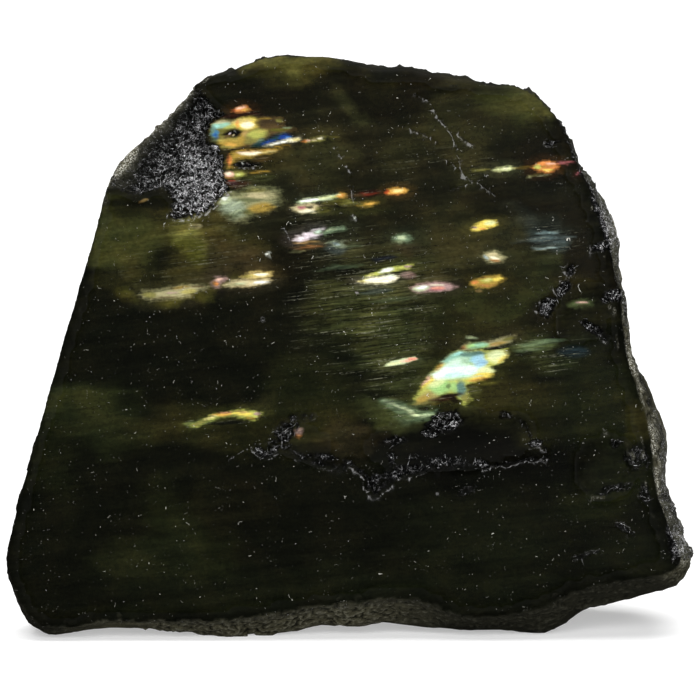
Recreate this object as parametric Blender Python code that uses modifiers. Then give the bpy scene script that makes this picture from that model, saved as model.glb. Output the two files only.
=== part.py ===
"""A rough chunk of labradorite standing on its broad foot, as one closed solid.

The stone has one flat cleaved face, which leans back a little, and broken sides, a broken back and a
broken underside. It is modelled in the frame of that face (u across, d back into the stone, v up the
face, all in millimetres), then set upright in metres: +Z up, the cleaved face towards -Y.

The order of the work is the order in which the real stone got its shape: a block is lofted through
its outlines, big fractures trim its back, its skin is roughened, the front is cleaved flat, scars are
chipped out of it, and its foot is worn flat where it stands.
"""

import math

import bmesh
import bpy
from mathutils import Matrix, Vector, noise

MM = 0.001

# Driving dimensions, in millimetres and degrees. MIDDLE is where the origin lies once the face has
# been leaned back: across from the face frame's zero, behind it, and below it, on the floor.
FACE_LEAN = 8.0
DEPTH_AT_FOOT = 42.0
DEPTH_AT_TOP = 22.0
HEIGHT = 84.0
SIDE_SLANT = 15.5
MIDDLE = (0.3, 20.7, -0.7)

# The broken skin: its mesh size, and the height and spacing of its swells, facets and ledges.
SKIN_GRAIN = 2.3
SWELLS = (1.0, 17.0)
FACETS = (1.2, 9.0)
LEDGES = (0.35, (26.0, 9.0, 7.0))
FACET_SEED = Vector((7.3, 1.9, 4.2))
MEAN_FACET = 0.35
MEAN_LEDGE = 1.1
LEFT_CORNER = (-50.0, 10.0)

# The outline, clockwise from the lower left, seen square on to the cleaved face. Each station is
# (u, v, rim, reach): where the widest point of the wall stands, how far inside it the edge of the
# cleaved face runs, and how far behind the face it lies.
LEFT_SIDE = (
    (-43.2, -0.4, 1.3, 2.0),
    (-46.2, 0.9, 1.0, 2.0),
    (-48.0, 2.6, 0.8, 2.0),
    (-48.1, 4.9, 0.6, 2.0),
    (-49.4, 7.1, 0.5, 2.0),
    (-50.1, 9.8, 0.4, 2.0),
    (-49.6, 13.2, 0.4, 2.0),
    (-48.3, 18.9, 0.4, 2.0),
    (-44.9, 31.2, 0.4, 2.0),
    (-42.0, 41.5, 0.4, 2.0),
    (-38.3, 54.1, 0.4, 2.0),
    (-35.7, 63.9, 0.4, 2.0),
)
TOP_SIDE = (
    (-34.6, 67.1, 0.5, 3.0),
    (-33.2, 69.9, 0.5, 6.5),
    (-29.2, 73.3, 0.5, 7.5),
    (-25.5, 76.8, 0.5, 6.5),
    (-22.4, 80.9, 0.5, 3.0),
    (-18.1, 81.8, 0.5, 2.0),
    (-14.5, 83.4, 0.5, 2.0),
    (-11.3, 84.3, 0.5, 2.0),
    (-7.3, 84.3, 0.5, 2.0),
    (-2.2, 84.0, 0.5, 2.0),
    (0.7, 83.4, 0.6, 2.0),
    (3.6, 82.4, 0.8, 2.0),
    (5.8, 82.4, 0.8, 2.0),
    (7.7, 82.8, 0.6, 2.0),
    (10.9, 81.8, 0.5, 2.0),
    (14.2, 81.3, 0.5, 2.0),
    (16.0, 81.6, 0.5, 2.0),
    (17.4, 80.8, 0.5, 2.0),
    (23.6, 80.1, 0.6, 2.0),
    (26.1, 79.1, 0.7, 2.0),
)
RIGHT_SIDE = (
    (28.3, 77.1, 0.9, 2.0),
    (30.9, 75.6, 1.4, 3.0),
    (32.4, 72.5, 1.4, 3.0),
    (33.2, 68.4, 1.1, 3.0),
    (35.1, 65.8, 1.3, 3.5),
    (37.7, 62.7, 1.9, 4.0),
    (39.4, 58.6, 2.5, 4.0),
    (39.5, 53.5, 1.9, 4.0),
    (40.4, 47.9, 1.8, 4.0),
    (39.9, 45.7, 1.3, 4.0),
    (40.8, 41.5, 1.6, 4.0),
    (43.1, 35.1, 1.9, 4.0),
    (45.7, 30.8, 3.2, 5.0),
    (46.4, 27.6, 3.6, 5.0),
    (45.8, 24.1, 2.6, 5.0),
    (46.6, 19.4, 2.3, 5.0),
    (48.2, 16.2, 2.9, 5.0),
    (50.2, 14.0, 3.6, 6.0),
    (50.8, 11.8, 3.8, 6.0),
)
LOWER_SIDE = (
    (50.3, 9.1, 3.2, 6.0),
    (48.8, 7.3, 3.0, 5.0),
    (45.5, 6.0, 3.6, 5.0),
    (40.7, 5.6, 3.2, 5.0),
    (37.5, 4.4, 3.6, 5.0),
    (34.1, 4.1, 3.4, 5.0),
    (32.5, 2.7, 4.4, 5.0),
    (31.7, 0.6, 4.6, 5.0),
    (28.0, -0.5, 4.8, 5.0),
    (22.7, 0.3, 2.7, 4.0),
    (16.2, 0.4, 2.6, 4.0),
    (9.7, 1.1, 4.8, 5.0),
    (5.8, 1.8, 4.2, 5.0),
    (0.0, 0.9, 4.1, 5.0),
    (-4.2, 0.7, 4.0, 5.0),
    (-7.7, -0.2, 4.2, 5.0),
    (-13.2, -0.5, 3.7, 5.0),
    (-18.4, -0.2, 3.0, 4.0),
    (-23.2, 0.5, 1.8, 3.0),
    (-30.1, 0.8, 1.6, 3.0),
    (-36.6, 0.9, 1.2, 3.0),
)
OUTLINE = LEFT_SIDE + TOP_SIDE + RIGHT_SIDE + LOWER_SIDE

# Rings of the loft behind the widest one: (share of the local depth, inset of the wall there). The
# loft starts ahead of the face, which is cleaved later. Walls that face down run level to the back,
# and reach below the floor by what has worn off the foot.
BACK_RINGS = ((0.3, 0.4), (0.6, 2.0), (0.85, 5.5), (1.0, 12.0))
OVERSHOOT = 3.0
FACING_DOWN = -0.55
FOOT_WEAR = 1.5

# Fracture planes that trim the block behind its face: (point on the plane, outward normal). The
# first ones roughened with the rest of the skin. The late ones are cleavages, and stayed flat.
FRACTURES = (
    ((0.0, 33.0, 42.0), (0.14, 1.0, 0.30)),
    ((38.0, 29.0, 26.0), (0.80, 0.66, 0.24)),
    ((8.0, 15.5, 78.0), (0.10, 0.72, 0.80)),
)
CLEAVAGES = (
    ((-35.0, 25.0, 30.0), (-0.86, 0.58, 0.16)),
    ((20.0, 36.0, 12.0), (0.42, 0.90, -0.30)),
    ((-14.0, 20.0, 70.0), (-0.50, 0.66, 0.56)),
)

# Terraces where the back came off along the same cleavage as the face: (a point of the riser as
# u and v, the way the riser faces in degrees from +u towards +v, depth of the terrace's tread).
TERRACES = (
    ((4.0, 51.0), 72.0, 20.5),
    ((25.0, 30.0), -14.0, 27.0),
    ((-25.0, 26.0), 197.0, 28.0),
    ((2.0, 13.0), 258.0, 34.5),
)
RISER_RUN = 1.6
RISER_WANDER = 2.4

# Scars broken out of the front: (centre u, d, v), half sizes, turn about the face normal in degrees,
# roughness of the scar's floor.
CORNER_CHIP = ((-30.4, -11.0, 74.4), (18.6, 16.4, 17.8), -8.0, 0.35)
FLAKE_SCAR = ((14.5, -1.4, 28.6), (17.0, 2.35, 4.9), 5.0, 0.10)
SMALL_SCARS = (
    ((-6.4, -0.9, 28.0), (5.0, 1.6, 2.6), -12.0, 0.08),
    ((33.8, -0.7, 47.0), (3.4, 1.7, 5.0), -38.0, 0.10),
    ((36.6, -1.0, 24.6), (5.2, 2.0, 5.2), 20.0, 0.12),
)


def face_to_world():
    """The frame of the cleaved face, in millimetres, set upright over the origin in metres."""
    lean = Matrix.Rotation(math.radians(-FACE_LEAN), 4, "X")
    return Matrix.Scale(MM, 4) @ Matrix.Translation(-Vector(MIDDLE)) @ lean


def clear_scene():
    for obj in list(bpy.data.objects):
        bpy.data.objects.remove(obj)


def new_collection(name):
    collection = bpy.data.collections.new(name)
    bpy.context.scene.collection.children.link(collection)
    return collection


def object_from(bm, name, collection):
    mesh = bpy.data.meshes.new(name)
    bm.to_mesh(mesh)
    bm.free()
    obj = bpy.data.objects.new(name, mesh)
    collection.objects.link(obj)
    return obj


def outward_normals(points):
    """For a clockwise outline, the unit normal at each point, in the plane of the face."""
    normals = []
    for i, here in enumerate(points):
        along = points[(i + 1) % len(points)] - points[i - 1]
        normals.append(Vector((-along.y, along.x)).normalized())
    return normals


def local_depth(v):
    return DEPTH_AT_FOOT + (DEPTH_AT_TOP - DEPTH_AT_FOOT) * min(max(v / HEIGHT, 0.0), 1.0)


def wall_point(point, normal, depth, inset):
    """A point of the wall. Where the wall faces down it stays level once the stone stands."""
    if normal.y > FACING_DOWN:
        return Vector((point.x - normal.x * inset, depth, point.y - normal.y * inset))
    level = math.tan(math.radians(FACE_LEAN)) * depth
    return Vector((point.x - normal.x * inset, depth, point.y + level - FOOT_WEAR))


def stone_rings():
    """The closed rings that the block is lofted through, front to back."""
    points = [Vector((u, v)) for u, v, _, _ in OUTLINE]
    normals = outward_normals(points)
    rings = [[] for _ in range(3 + len(BACK_RINGS))]
    for point, normal, (_, v, rim, reach) in zip(points, normals, OUTLINE):
        edge = point - normal * rim
        ahead = edge - normal * rim * OVERSHOOT / reach
        rings[0].append(Vector((ahead.x, -OVERSHOOT, ahead.y)))
        rings[1].append(Vector((edge.x, 0.0, edge.y)))
        rings[2].append(Vector((point.x, reach, point.y)))
        for ring, (share, inset) in zip(rings[3:], BACK_RINGS):
            depth = reach + (local_depth(v) - reach) * share
            ring.append(wall_point(point, normal, depth, inset))
    return rings


def loft(rings):
    """A closed block through rings of equal length, with a flat cap at each end."""
    bm = bmesh.new()
    loops = [[bm.verts.new(point) for point in ring] for ring in rings]
    for near, far in zip(loops, loops[1:]):
        for i in range(len(near)):
            j = (i + 1) % len(near)
            bm.faces.new((near[i], near[j], far[j], far[i]))
    bm.faces.new(list(reversed(loops[0])))
    bm.faces.new(loops[-1])
    bmesh.ops.recalc_face_normals(bm, faces=bm.faces)
    return bm


def terraced_depth(u, v, deepest):
    """How deep the stone goes behind (u, v) once the terraces have come off its back."""
    for (step_u, step_v), facing, tread in TERRACES:
        facing = math.radians(facing)
        beyond = (u - step_u) * math.cos(facing) + (v - step_v) * math.sin(facing)
        beyond += RISER_WANDER * noise.noise(Vector((u, v, tread)) / 8.0)
        share = min(max(beyond / RISER_RUN, 0.0), 1.0)
        deepest = min(deepest, deepest + (tread - deepest) * share)
    return deepest


def cut_away(bm, point, normal):
    """Removes what lies beyond a plane, and closes the cut with one flat face."""
    geometry = bm.verts[:] + bm.edges[:] + bm.faces[:]
    cut = bmesh.ops.bisect_plane(
        bm, geom=geometry, dist=1e-5, plane_co=point, plane_no=normal, clear_outer=True
    )
    edges = [e for e in cut["geom_cut"] if isinstance(e, bmesh.types.BMEdge)]
    bmesh.ops.holes_fill(bm, edges=edges, sides=0)
    bmesh.ops.recalc_face_normals(bm, faces=bm.faces)


def evenly_meshed(bm, size, collection):
    """The same surface meshed anew in even quads of about this size."""
    obj = object_from(bm, "even skin", collection)
    remesh = obj.modifiers.new("even skin", "REMESH")
    remesh.mode = "VOXEL"
    remesh.voxel_size = size
    graph = bpy.context.evaluated_depsgraph_get()
    mesh = bpy.data.meshes.new_from_object(obj.evaluated_get(graph))
    bm = bmesh.new()
    bm.from_mesh(mesh)
    bpy.data.objects.remove(obj)
    return bm


def broken_relief(point):
    """How far the broken skin stands out at a point, in millimetres."""
    swell = noise.fractal(point / SWELLS[1], 0.9, 2.1, 2)
    distances, _ = noise.voronoi(point / FACETS[1] + FACET_SEED)
    facet = distances[1] - distances[0] - MEAN_FACET
    stretched = Vector(a / spacing for a, spacing in zip(point, LEDGES[1]))
    ledge = noise.ridged_multi_fractal(stretched, 1.0, 2.0, 2, 1.0, 2.0) - MEAN_LEDGE
    return SWELLS[0] * swell + FACETS[0] * facet + LEDGES[0] * ledge


def skin_share(point):
    """How much of the broken relief a point takes. Beside the face the long left side is straight."""
    left_edge = LEFT_CORNER[0] + math.tan(math.radians(SIDE_SLANT)) * (point.z - LEFT_CORNER[1])
    from_left = min(max((point.x - left_edge) / 8.0, 0.2), 1.0)
    behind_face = min(max((point.y - 4.0) / 8.0, 0.0), 1.3)
    return max(0.4 * from_left, behind_face)


def roughen(bm):
    bm.normal_update()
    moves = [v.normal * broken_relief(v.co) * skin_share(v.co) for v in bm.verts]
    for vert, move in zip(bm.verts, moves):
        vert.co += move


def scar_cutter(name, scar, detail, collection):
    """A rough-skinned boulder that breaks a scar out of the stone where they overlap."""
    centre, half_sizes, turn, roughness = scar
    bm = bmesh.new()
    bmesh.ops.create_icosphere(bm, subdivisions=detail, radius=1.0)
    for vert in bm.verts:
        away = vert.co.copy()
        vert.co = Vector(a * b for a, b in zip(away, half_sizes))
        where = vert.co + Vector(centre)
        vert.co += away * roughness * 2.0 * noise.fractal(where / 3.2, 0.8, 2.0, 3)
    turned = Matrix.Rotation(math.radians(-turn), 4, "Y")
    bm.transform(face_to_world() @ Matrix.Translation(centre) @ turned)
    cutter = object_from(bm, name, collection)
    cutter.hide_render = True
    cutter.display_type = "WIRE"
    return cutter


def stone_material():
    material = bpy.data.materials.new("labradorite")
    material.use_nodes = True
    shader = material.node_tree.nodes["Principled BSDF"]
    shader.inputs["Base Color"].default_value = (0.022, 0.024, 0.014, 1.0)
    shader.inputs["Roughness"].default_value = 0.3
    shader.inputs["Metallic"].default_value = 0.0
    return material


def broken_block(collection):
    """The block with its fractured back and rough skin, still in the frame of the face."""
    bm = loft(stone_rings())
    for point, normal in FRACTURES:
        cut_away(bm, Vector(point), Vector(normal).normalized())
    bm = evenly_meshed(bm, SKIN_GRAIN / 2, collection)
    for vert in bm.verts:
        vert.co.y = min(vert.co.y, terraced_depth(vert.co.x, vert.co.z, DEPTH_AT_FOOT))
    return evenly_meshed(bm, SKIN_GRAIN, collection)


def labradorite_chunk():
    """The whole stone, in the order in which it broke and wore."""
    parts = new_collection("rough labradorite chunk")
    cutters = new_collection("cutters")
    bm = broken_block(parts)
    roughen(bm)
    for point, normal in CLEAVAGES:
        cut_away(bm, Vector(point), Vector(normal).normalized())
    cut_away(bm, Vector((0.0, 0.0, 0.0)), Vector((0.0, -1.0, 0.0)))
    bm.transform(face_to_world())
    cut_away(bm, Vector((0.0, 0.0, 0.0)), Vector((0.0, 0.0, -1.0)))
    stone = object_from(bm, "labradorite_chunk", parts)
    stone.data.materials.append(stone_material())
    stone.data.shade_smooth()
    stone.data.set_sharp_from_angle(angle=math.radians(35.0))
    scars = [("corner chip", CORNER_CHIP, 4), ("flake scar", FLAKE_SCAR, 4)]
    scars += [(f"small scar {n}", scar, 3) for n, scar in enumerate(SMALL_SCARS, 1)]
    for name, scar, detail in scars:
        cutter = scar_cutter(name, scar, detail, cutters)
        breaking = stone.modifiers.new(cutter.name, "BOOLEAN")
        breaking.operation = "DIFFERENCE"
        breaking.object = cutter


clear_scene()
labradorite_chunk()
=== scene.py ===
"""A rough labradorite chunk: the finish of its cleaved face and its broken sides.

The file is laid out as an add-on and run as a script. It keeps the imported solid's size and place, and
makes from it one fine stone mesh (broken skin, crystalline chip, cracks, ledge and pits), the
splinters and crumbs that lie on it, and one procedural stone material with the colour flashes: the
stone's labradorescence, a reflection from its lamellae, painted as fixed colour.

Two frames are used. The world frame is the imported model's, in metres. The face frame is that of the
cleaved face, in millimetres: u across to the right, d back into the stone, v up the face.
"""

import math

import bmesh
import bpy
import numpy as np
from bpy.props import FloatProperty, FloatVectorProperty, IntProperty, PointerProperty
from mathutils import Matrix, Vector, kdtree, noise


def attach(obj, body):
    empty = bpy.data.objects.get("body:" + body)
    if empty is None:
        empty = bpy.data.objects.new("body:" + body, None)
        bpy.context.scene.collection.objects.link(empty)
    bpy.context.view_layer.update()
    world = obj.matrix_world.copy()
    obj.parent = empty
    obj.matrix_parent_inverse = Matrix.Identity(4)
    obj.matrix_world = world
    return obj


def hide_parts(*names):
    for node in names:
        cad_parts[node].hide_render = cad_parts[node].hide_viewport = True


bl_info = {
    "name": "Rough Labradorite Chunk",
    "version": (1, 0, 0),
    "blender": (4, 5, 0),
    "location": "View3D > Sidebar > Labradorite",
    "description": "Finishes a rough labradorite chunk around its packed solid",
    "category": "Object",
}

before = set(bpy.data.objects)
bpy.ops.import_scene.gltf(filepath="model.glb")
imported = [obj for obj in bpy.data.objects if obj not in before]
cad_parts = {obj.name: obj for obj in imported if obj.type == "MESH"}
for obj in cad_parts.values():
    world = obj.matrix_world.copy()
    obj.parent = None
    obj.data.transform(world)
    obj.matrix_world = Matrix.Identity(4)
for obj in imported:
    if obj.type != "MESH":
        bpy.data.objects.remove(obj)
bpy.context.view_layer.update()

NODE = "labradorite_chunk"
BODY = "root"

# The cleaved face leans back by FACE_LEAN degrees. MIDDLE is the world's origin in the upright
# millimetre frame, before the metres.
FACE_LEAN = 8.0
MIDDLE = Vector((0.3, 20.7, -0.7))
METRES = 0.001
FACE_TO_WORLD = (
    Matrix.Scale(METRES, 4)
    @ Matrix.Translation(-MIDDLE)
    @ Matrix.Rotation(-math.radians(FACE_LEAN), 4, "X")
)
WORLD_TO_FACE = FACE_TO_WORLD.inverted()

# How far back from the face, in millimetres, its own breaks, the fine noise and the unworn skin reach.
FRONT_REACH = 7.0
NOISE_REACH = 8.0
WORN_BEHIND = 9.0

# The seed of the tilts of the broken skin's facets.
SEED = 5

FELDSPAR_IOR = 1.56
CM2_PER_M2 = 10000.0


# ---------------------------------------------------------------------------------------------------
# Where things lie on the face: (u, v) in millimetres. An oval is (u, v, half length, half width, tilt in
# degrees).
# ---------------------------------------------------------------------------------------------------

# The crystalline chip at the upper left corner.
CHIP = (
    (-35.4, 64.7), (-34.5, 67.6), (-33.3, 69.3), (-30.4, 73.1), (-26.8, 76.6), (-22.9, 79.5),
    (-21.8, 78.9), (-20.0, 76.8), (-18.3, 75.4), (-19.9, 74.8), (-20.9, 72.6), (-20.9, 71.5),
    (-19.3, 70.2), (-18.3, 69.3), (-18.4, 67.0), (-17.7, 64.7), (-19.4, 62.8), (-20.9, 61.6),
    (-23.3, 60.8), (-26.1, 60.5), (-25.2, 62.9), (-26.8, 65.1), (-30.9, 63.9), (-34.2, 65.1),
)

# The solid's smooth dent behind the chip, as its centre and radius: it is filled up outside the chip.
DENT = ((-30.4, 74.4), 14.4)

# Hairline cracks, as lines of points, with their half width and depth.
HAIRLINE = (0.075, 0.05)
CRACKS = (
    (
        (8.6, 78.6), (10.1, 78.1), (11.5, 77.5), (12.1, 76.4), (12.8, 74.9), (14.1, 73.5), (14.8, 72.4),
        (15.5, 70.2), (16.1, 67.5), (16.8, 66.2), (18.3, 65.8), (21.0, 63.8),
    ),
    ((14.6, 73.1), (16.1, 72.2), (17.7, 71.1)),
    ((7.2, 74.0), (8.6, 73.5), (10.6, 72.6), (12.8, 71.5)),
    ((13.2, 69.3), (14.6, 68.6), (15.7, 67.5)),
    ((14.8, 64.7), (16.1, 65.1), (17.7, 65.8), (19.0, 66.1), (20.1, 67.1)),
    ((13.7, 79.9), (16.4, 79.5), (17.9, 79.0)),
    ((-2.2, 70.8), (-1.4, 69.6), (-0.4, 68.1), (0.3, 66.7), (0.5, 63.5), (0.7, 60.6), (1.2, 60.2)),
    ((-9.5, 59.4), (-9.0, 58.3), (-8.6, 57.3)),
    ((-18.6, 24.9), (-17.7, 25.7), (-16.2, 26.5), (-14.8, 27.3), (-13.0, 28.0)),
)

# The broken ledge under the flake scar: lines of points with (half width, depth, sparkle).
LEDGES = (
    (((-13.2, 27.0), (-11.9, 26.4)), (0.8, 0.15, 1.0)),
    ((
        (-11.6, 27.1), (-9.9, 27.4), (-8.8, 27.1), (-7.0, 26.0), (-5.0, 25.2), (-3.9, 24.9), (-1.0, 24.6),
    ), (0.62, 0.3, 0.55)),
    (((-11.4, 27.3), (-10.4, 29.0), (-9.7, 30.8), (-8.2, 31.6), (-5.6, 31.9)), (0.62, 0.25, 0.5)),
    (((-0.6, 25.5), (0.7, 24.7), (2.0, 23.4), (2.9, 22.1), (3.8, 20.9)), (0.3, 0.3, 0.55)),
    (((3.8, 20.9), (5.0, 22.3), (6.7, 23.6), (9.9, 24.3), (13.0, 24.9), (16.7, 25.1)), (0.78, 0.35, 0.6)),
    (((5.4, 23.6), (7.6, 24.6), (9.6, 25.0)), (0.3, 0.2, 0.6)),
    (((16.7, 25.1), (19.3, 24.7), (22.5, 25.0), (25.6, 25.7), (28.2, 25.9)), (0.22, 0.25, 0.5)),
    (((8.6, 25.6), (9.8, 26.2), (10.6, 25.6)), (0.4, 0.2, 0.8)),
    (((22.8, 32.2), (24.5, 31.4), (25.5, 30.2), (26.2, 28.3), (28.3, 27.3)), (0.3, 0.25, 0.4)),
)

# Old scars in the face with a smooth glassy floor: ovals.
GLASSY_SCARS = (
    (14.5, 28.6, 19.5, 6.4, 5), (-6.4, 28.0, 6.6, 3.6, -12), (33.8, 47.0, 5.0, 7.4, -38),
    (36.6, 24.6, 7.4, 7.4, 20),
)

# Patches of white crumbs in shallow pits: ovals, each with its depth and sparkle.
PITS = (
    (-9.2, 29.6, 2.6, 1.9, 35, 0.3, 0.6), (6.2, 28.4, 2.9, 0.9, 5, 0.15, 0.5),
    (6.0, 25.6, 0.8, 1.4, 0, 0.25, 0.7), (13.8, 31.2, 4.0, 2.4, 15, 0.45, 0.55),
    (15.1, 30.7, 1.3, 0.8, 10, 0.3, 1.0), (11.4, 29.3, 1.8, 0.7, -15, 0.2, 0.7),
    (18.9, 25.1, 1.4, 0.8, -20, 0.2, 0.8), (26.7, 28.0, 1.2, 0.8, 10, 0.25, 0.8),
    (22.4, 32.0, 1.5, 0.9, -10, 0.3, 0.4), (16.7, 21.0, 1.6, 0.8, 20, 0.05, 0.25),
    (30.9, 50.6, 1.1, 1.9, -35, 0.2, 0.7), (28.6, 47.7, 1.4, 2.2, -35, 0.25, 0.7),
    (35.2, 44.4, 3.2, 1.0, -35, 0.25, 0.7), (38.2, 49.2, 2.6, 1.3, 5, 0.35, 0.8),
    (31.9, 52.9, 0.9, 1.2, 0, 0.15, 0.6), (36.4, 56.4, 2.0, 1.1, 10, 0.25, 0.7),
    (29.2, 71.4, 1.8, 0.4, 10, 0.1, 0.6), (41.4, 25.6, 3.0, 2.6, 20, 0.1, 0.38),
    (38.2, 21.4, 3.4, 1.0, 12, 0.1, 0.4), (38.4, 28.0, 1.5, 1.0, 0, 0.1, 0.4),
    (39.6, 15.6, 1.8, 0.6, -30, 0.08, 0.4), (34.5, 12.0, 3.2, 0.5, 14, 0.05, 0.3),
    (42.6, 20.6, 1.2, 2.2, 10, 0.1, 0.35), (47.4, 12.6, 2.4, 3.4, 0, 0.2, 0.3),
    (-15.0, 68.1, 1.7, 0.5, 0, 0.15, 0.5), (-19.6, 70.8, 1.1, 0.5, -40, 0.2, 1.0),
    (7.6, 23.9, 4.2, 1.1, 12, 0.12, 0.55), (13.6, 25.4, 3.6, 0.8, 2, 0.1, 0.5),
    (-3.6, 26.0, 3.0, 0.7, -10, 0.1, 0.45), (3.4, 22.6, 1.2, 1.8, -30, 0.12, 0.5),
)

# The rough strip down the right edge, from its inner line out to the wall.
RIGHT_STRIP = (
    (28.1, 76.4), (29.8, 74.9), (31.3, 71.8), (31.6, 69.6), (34.2, 65.6), (34.9, 62.6), (35.9, 59.9),
    (36.9, 56.3), (38.2, 53.4), (39.0, 50.2), (40.0, 44.0), (41.6, 38.0), (43.6, 33.0), (45.0, 28.4),
    (44.6, 22.0), (45.6, 17.0), (45.6, 11.0), (54.0, 11.0), (54.0, 76.4),
)

# ---------------------------------------------------------------------------------------------------
# The colours of the stone, as sRGB hex, and its flashes, a reflection from the lamellae, painted with them
# ---------------------------------------------------------------------------------------------------

COLOURS = {
    "ground": "0e0f08", "black": "070704", "night": "0e100b", "night_blue": "1a2832", "navy": "181e36",
    "deep_blue": "1b3a84", "blue": "356c92", "bright_blue": "4c84c0", "sky": "94c0d8",
    "sky_blue": "6ea4d4", "blue_grey": "2a302c", "steel": "364041", "pale_steel": "93a8ae",
    "pale_cyan": "a9e6de", "pale_teal": "86b49e", "dark_teal": "22403e", "grey_teal": "567468",
    "sea_green": "282d18", "sage_green": "758a6c", "khaki_green": "7c7c58", "grey_green": "84907a",
    "mint": "d6efdc", "white": "eef1ee", "lime_cream": "d6dca0", "cream": "f2eccc",
    "pale_yellow": "e6d890", "yellow": "d8c258", "dull_yellow": "a69c50", "yellow_green": "a8ac54",
    "pale_mint": "bce6d6", "light_green": "94bc74", "pale_green": "b8c49c", "moss_green": "465030",
    "gold": "cc9c4a", "dull_gold": "846c2c", "dull_amber": "9a8038", "olive_sand": "908450",
    "orange": "cc8044", "red_orange": "c4562c", "copper": "a06c3a", "red": "6e281c", "maroon": "2a130e",
    "rose": "e2b8a0", "salmon": "dc9078", "dusty_pink": "9a7e7a", "mauve_pink": "96585f",
    "mauve": "40282e", "lavender": "d2c6cc", "tan": "a88a5a", "tan_khaki": "96906a", "sand": "c0b288",
    "sand_yellow": "c0ac6c", "umber": "4e3e24", "brown": "33291a", "dark_brown": "1a120c",
    "olive_gold": "44401f", "grey_olive": "2a2914", "brown_olive": "3a3220", "olive": "34371c",
    "ripple_olive": "55531f", "sun_olive": "74703a", "sage": "32361e", "pale_sage": "454828",
    "moss": "171a0e", "pine": "1c1f0f", "dusk": "15130a", "khaki_shade": "1f1e12", "khaki": "36341e",
    "light_khaki": "4b4a2c", "leaf_olive": "454624",
}

# Where fine light lines, a painted sheen, run along the lamellae: ovals, each with its strength.
STREAKED = (
    (3.6, 47.0, 14.5, 15.0, 0, 1.0), (-24.0, 56.0, 12.0, 6.0, 10, 0.5), (-5.0, 57.0, 9.0, 5.0, 6, 0.8),
    (28.5, 57.6, 10.0, 4.0, 2, 1.0), (12.0, 68.0, 14.0, 4.0, 6, 0.35), (29.0, 42.0, 9.0, 3.0, 5, 0.8),
)
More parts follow.
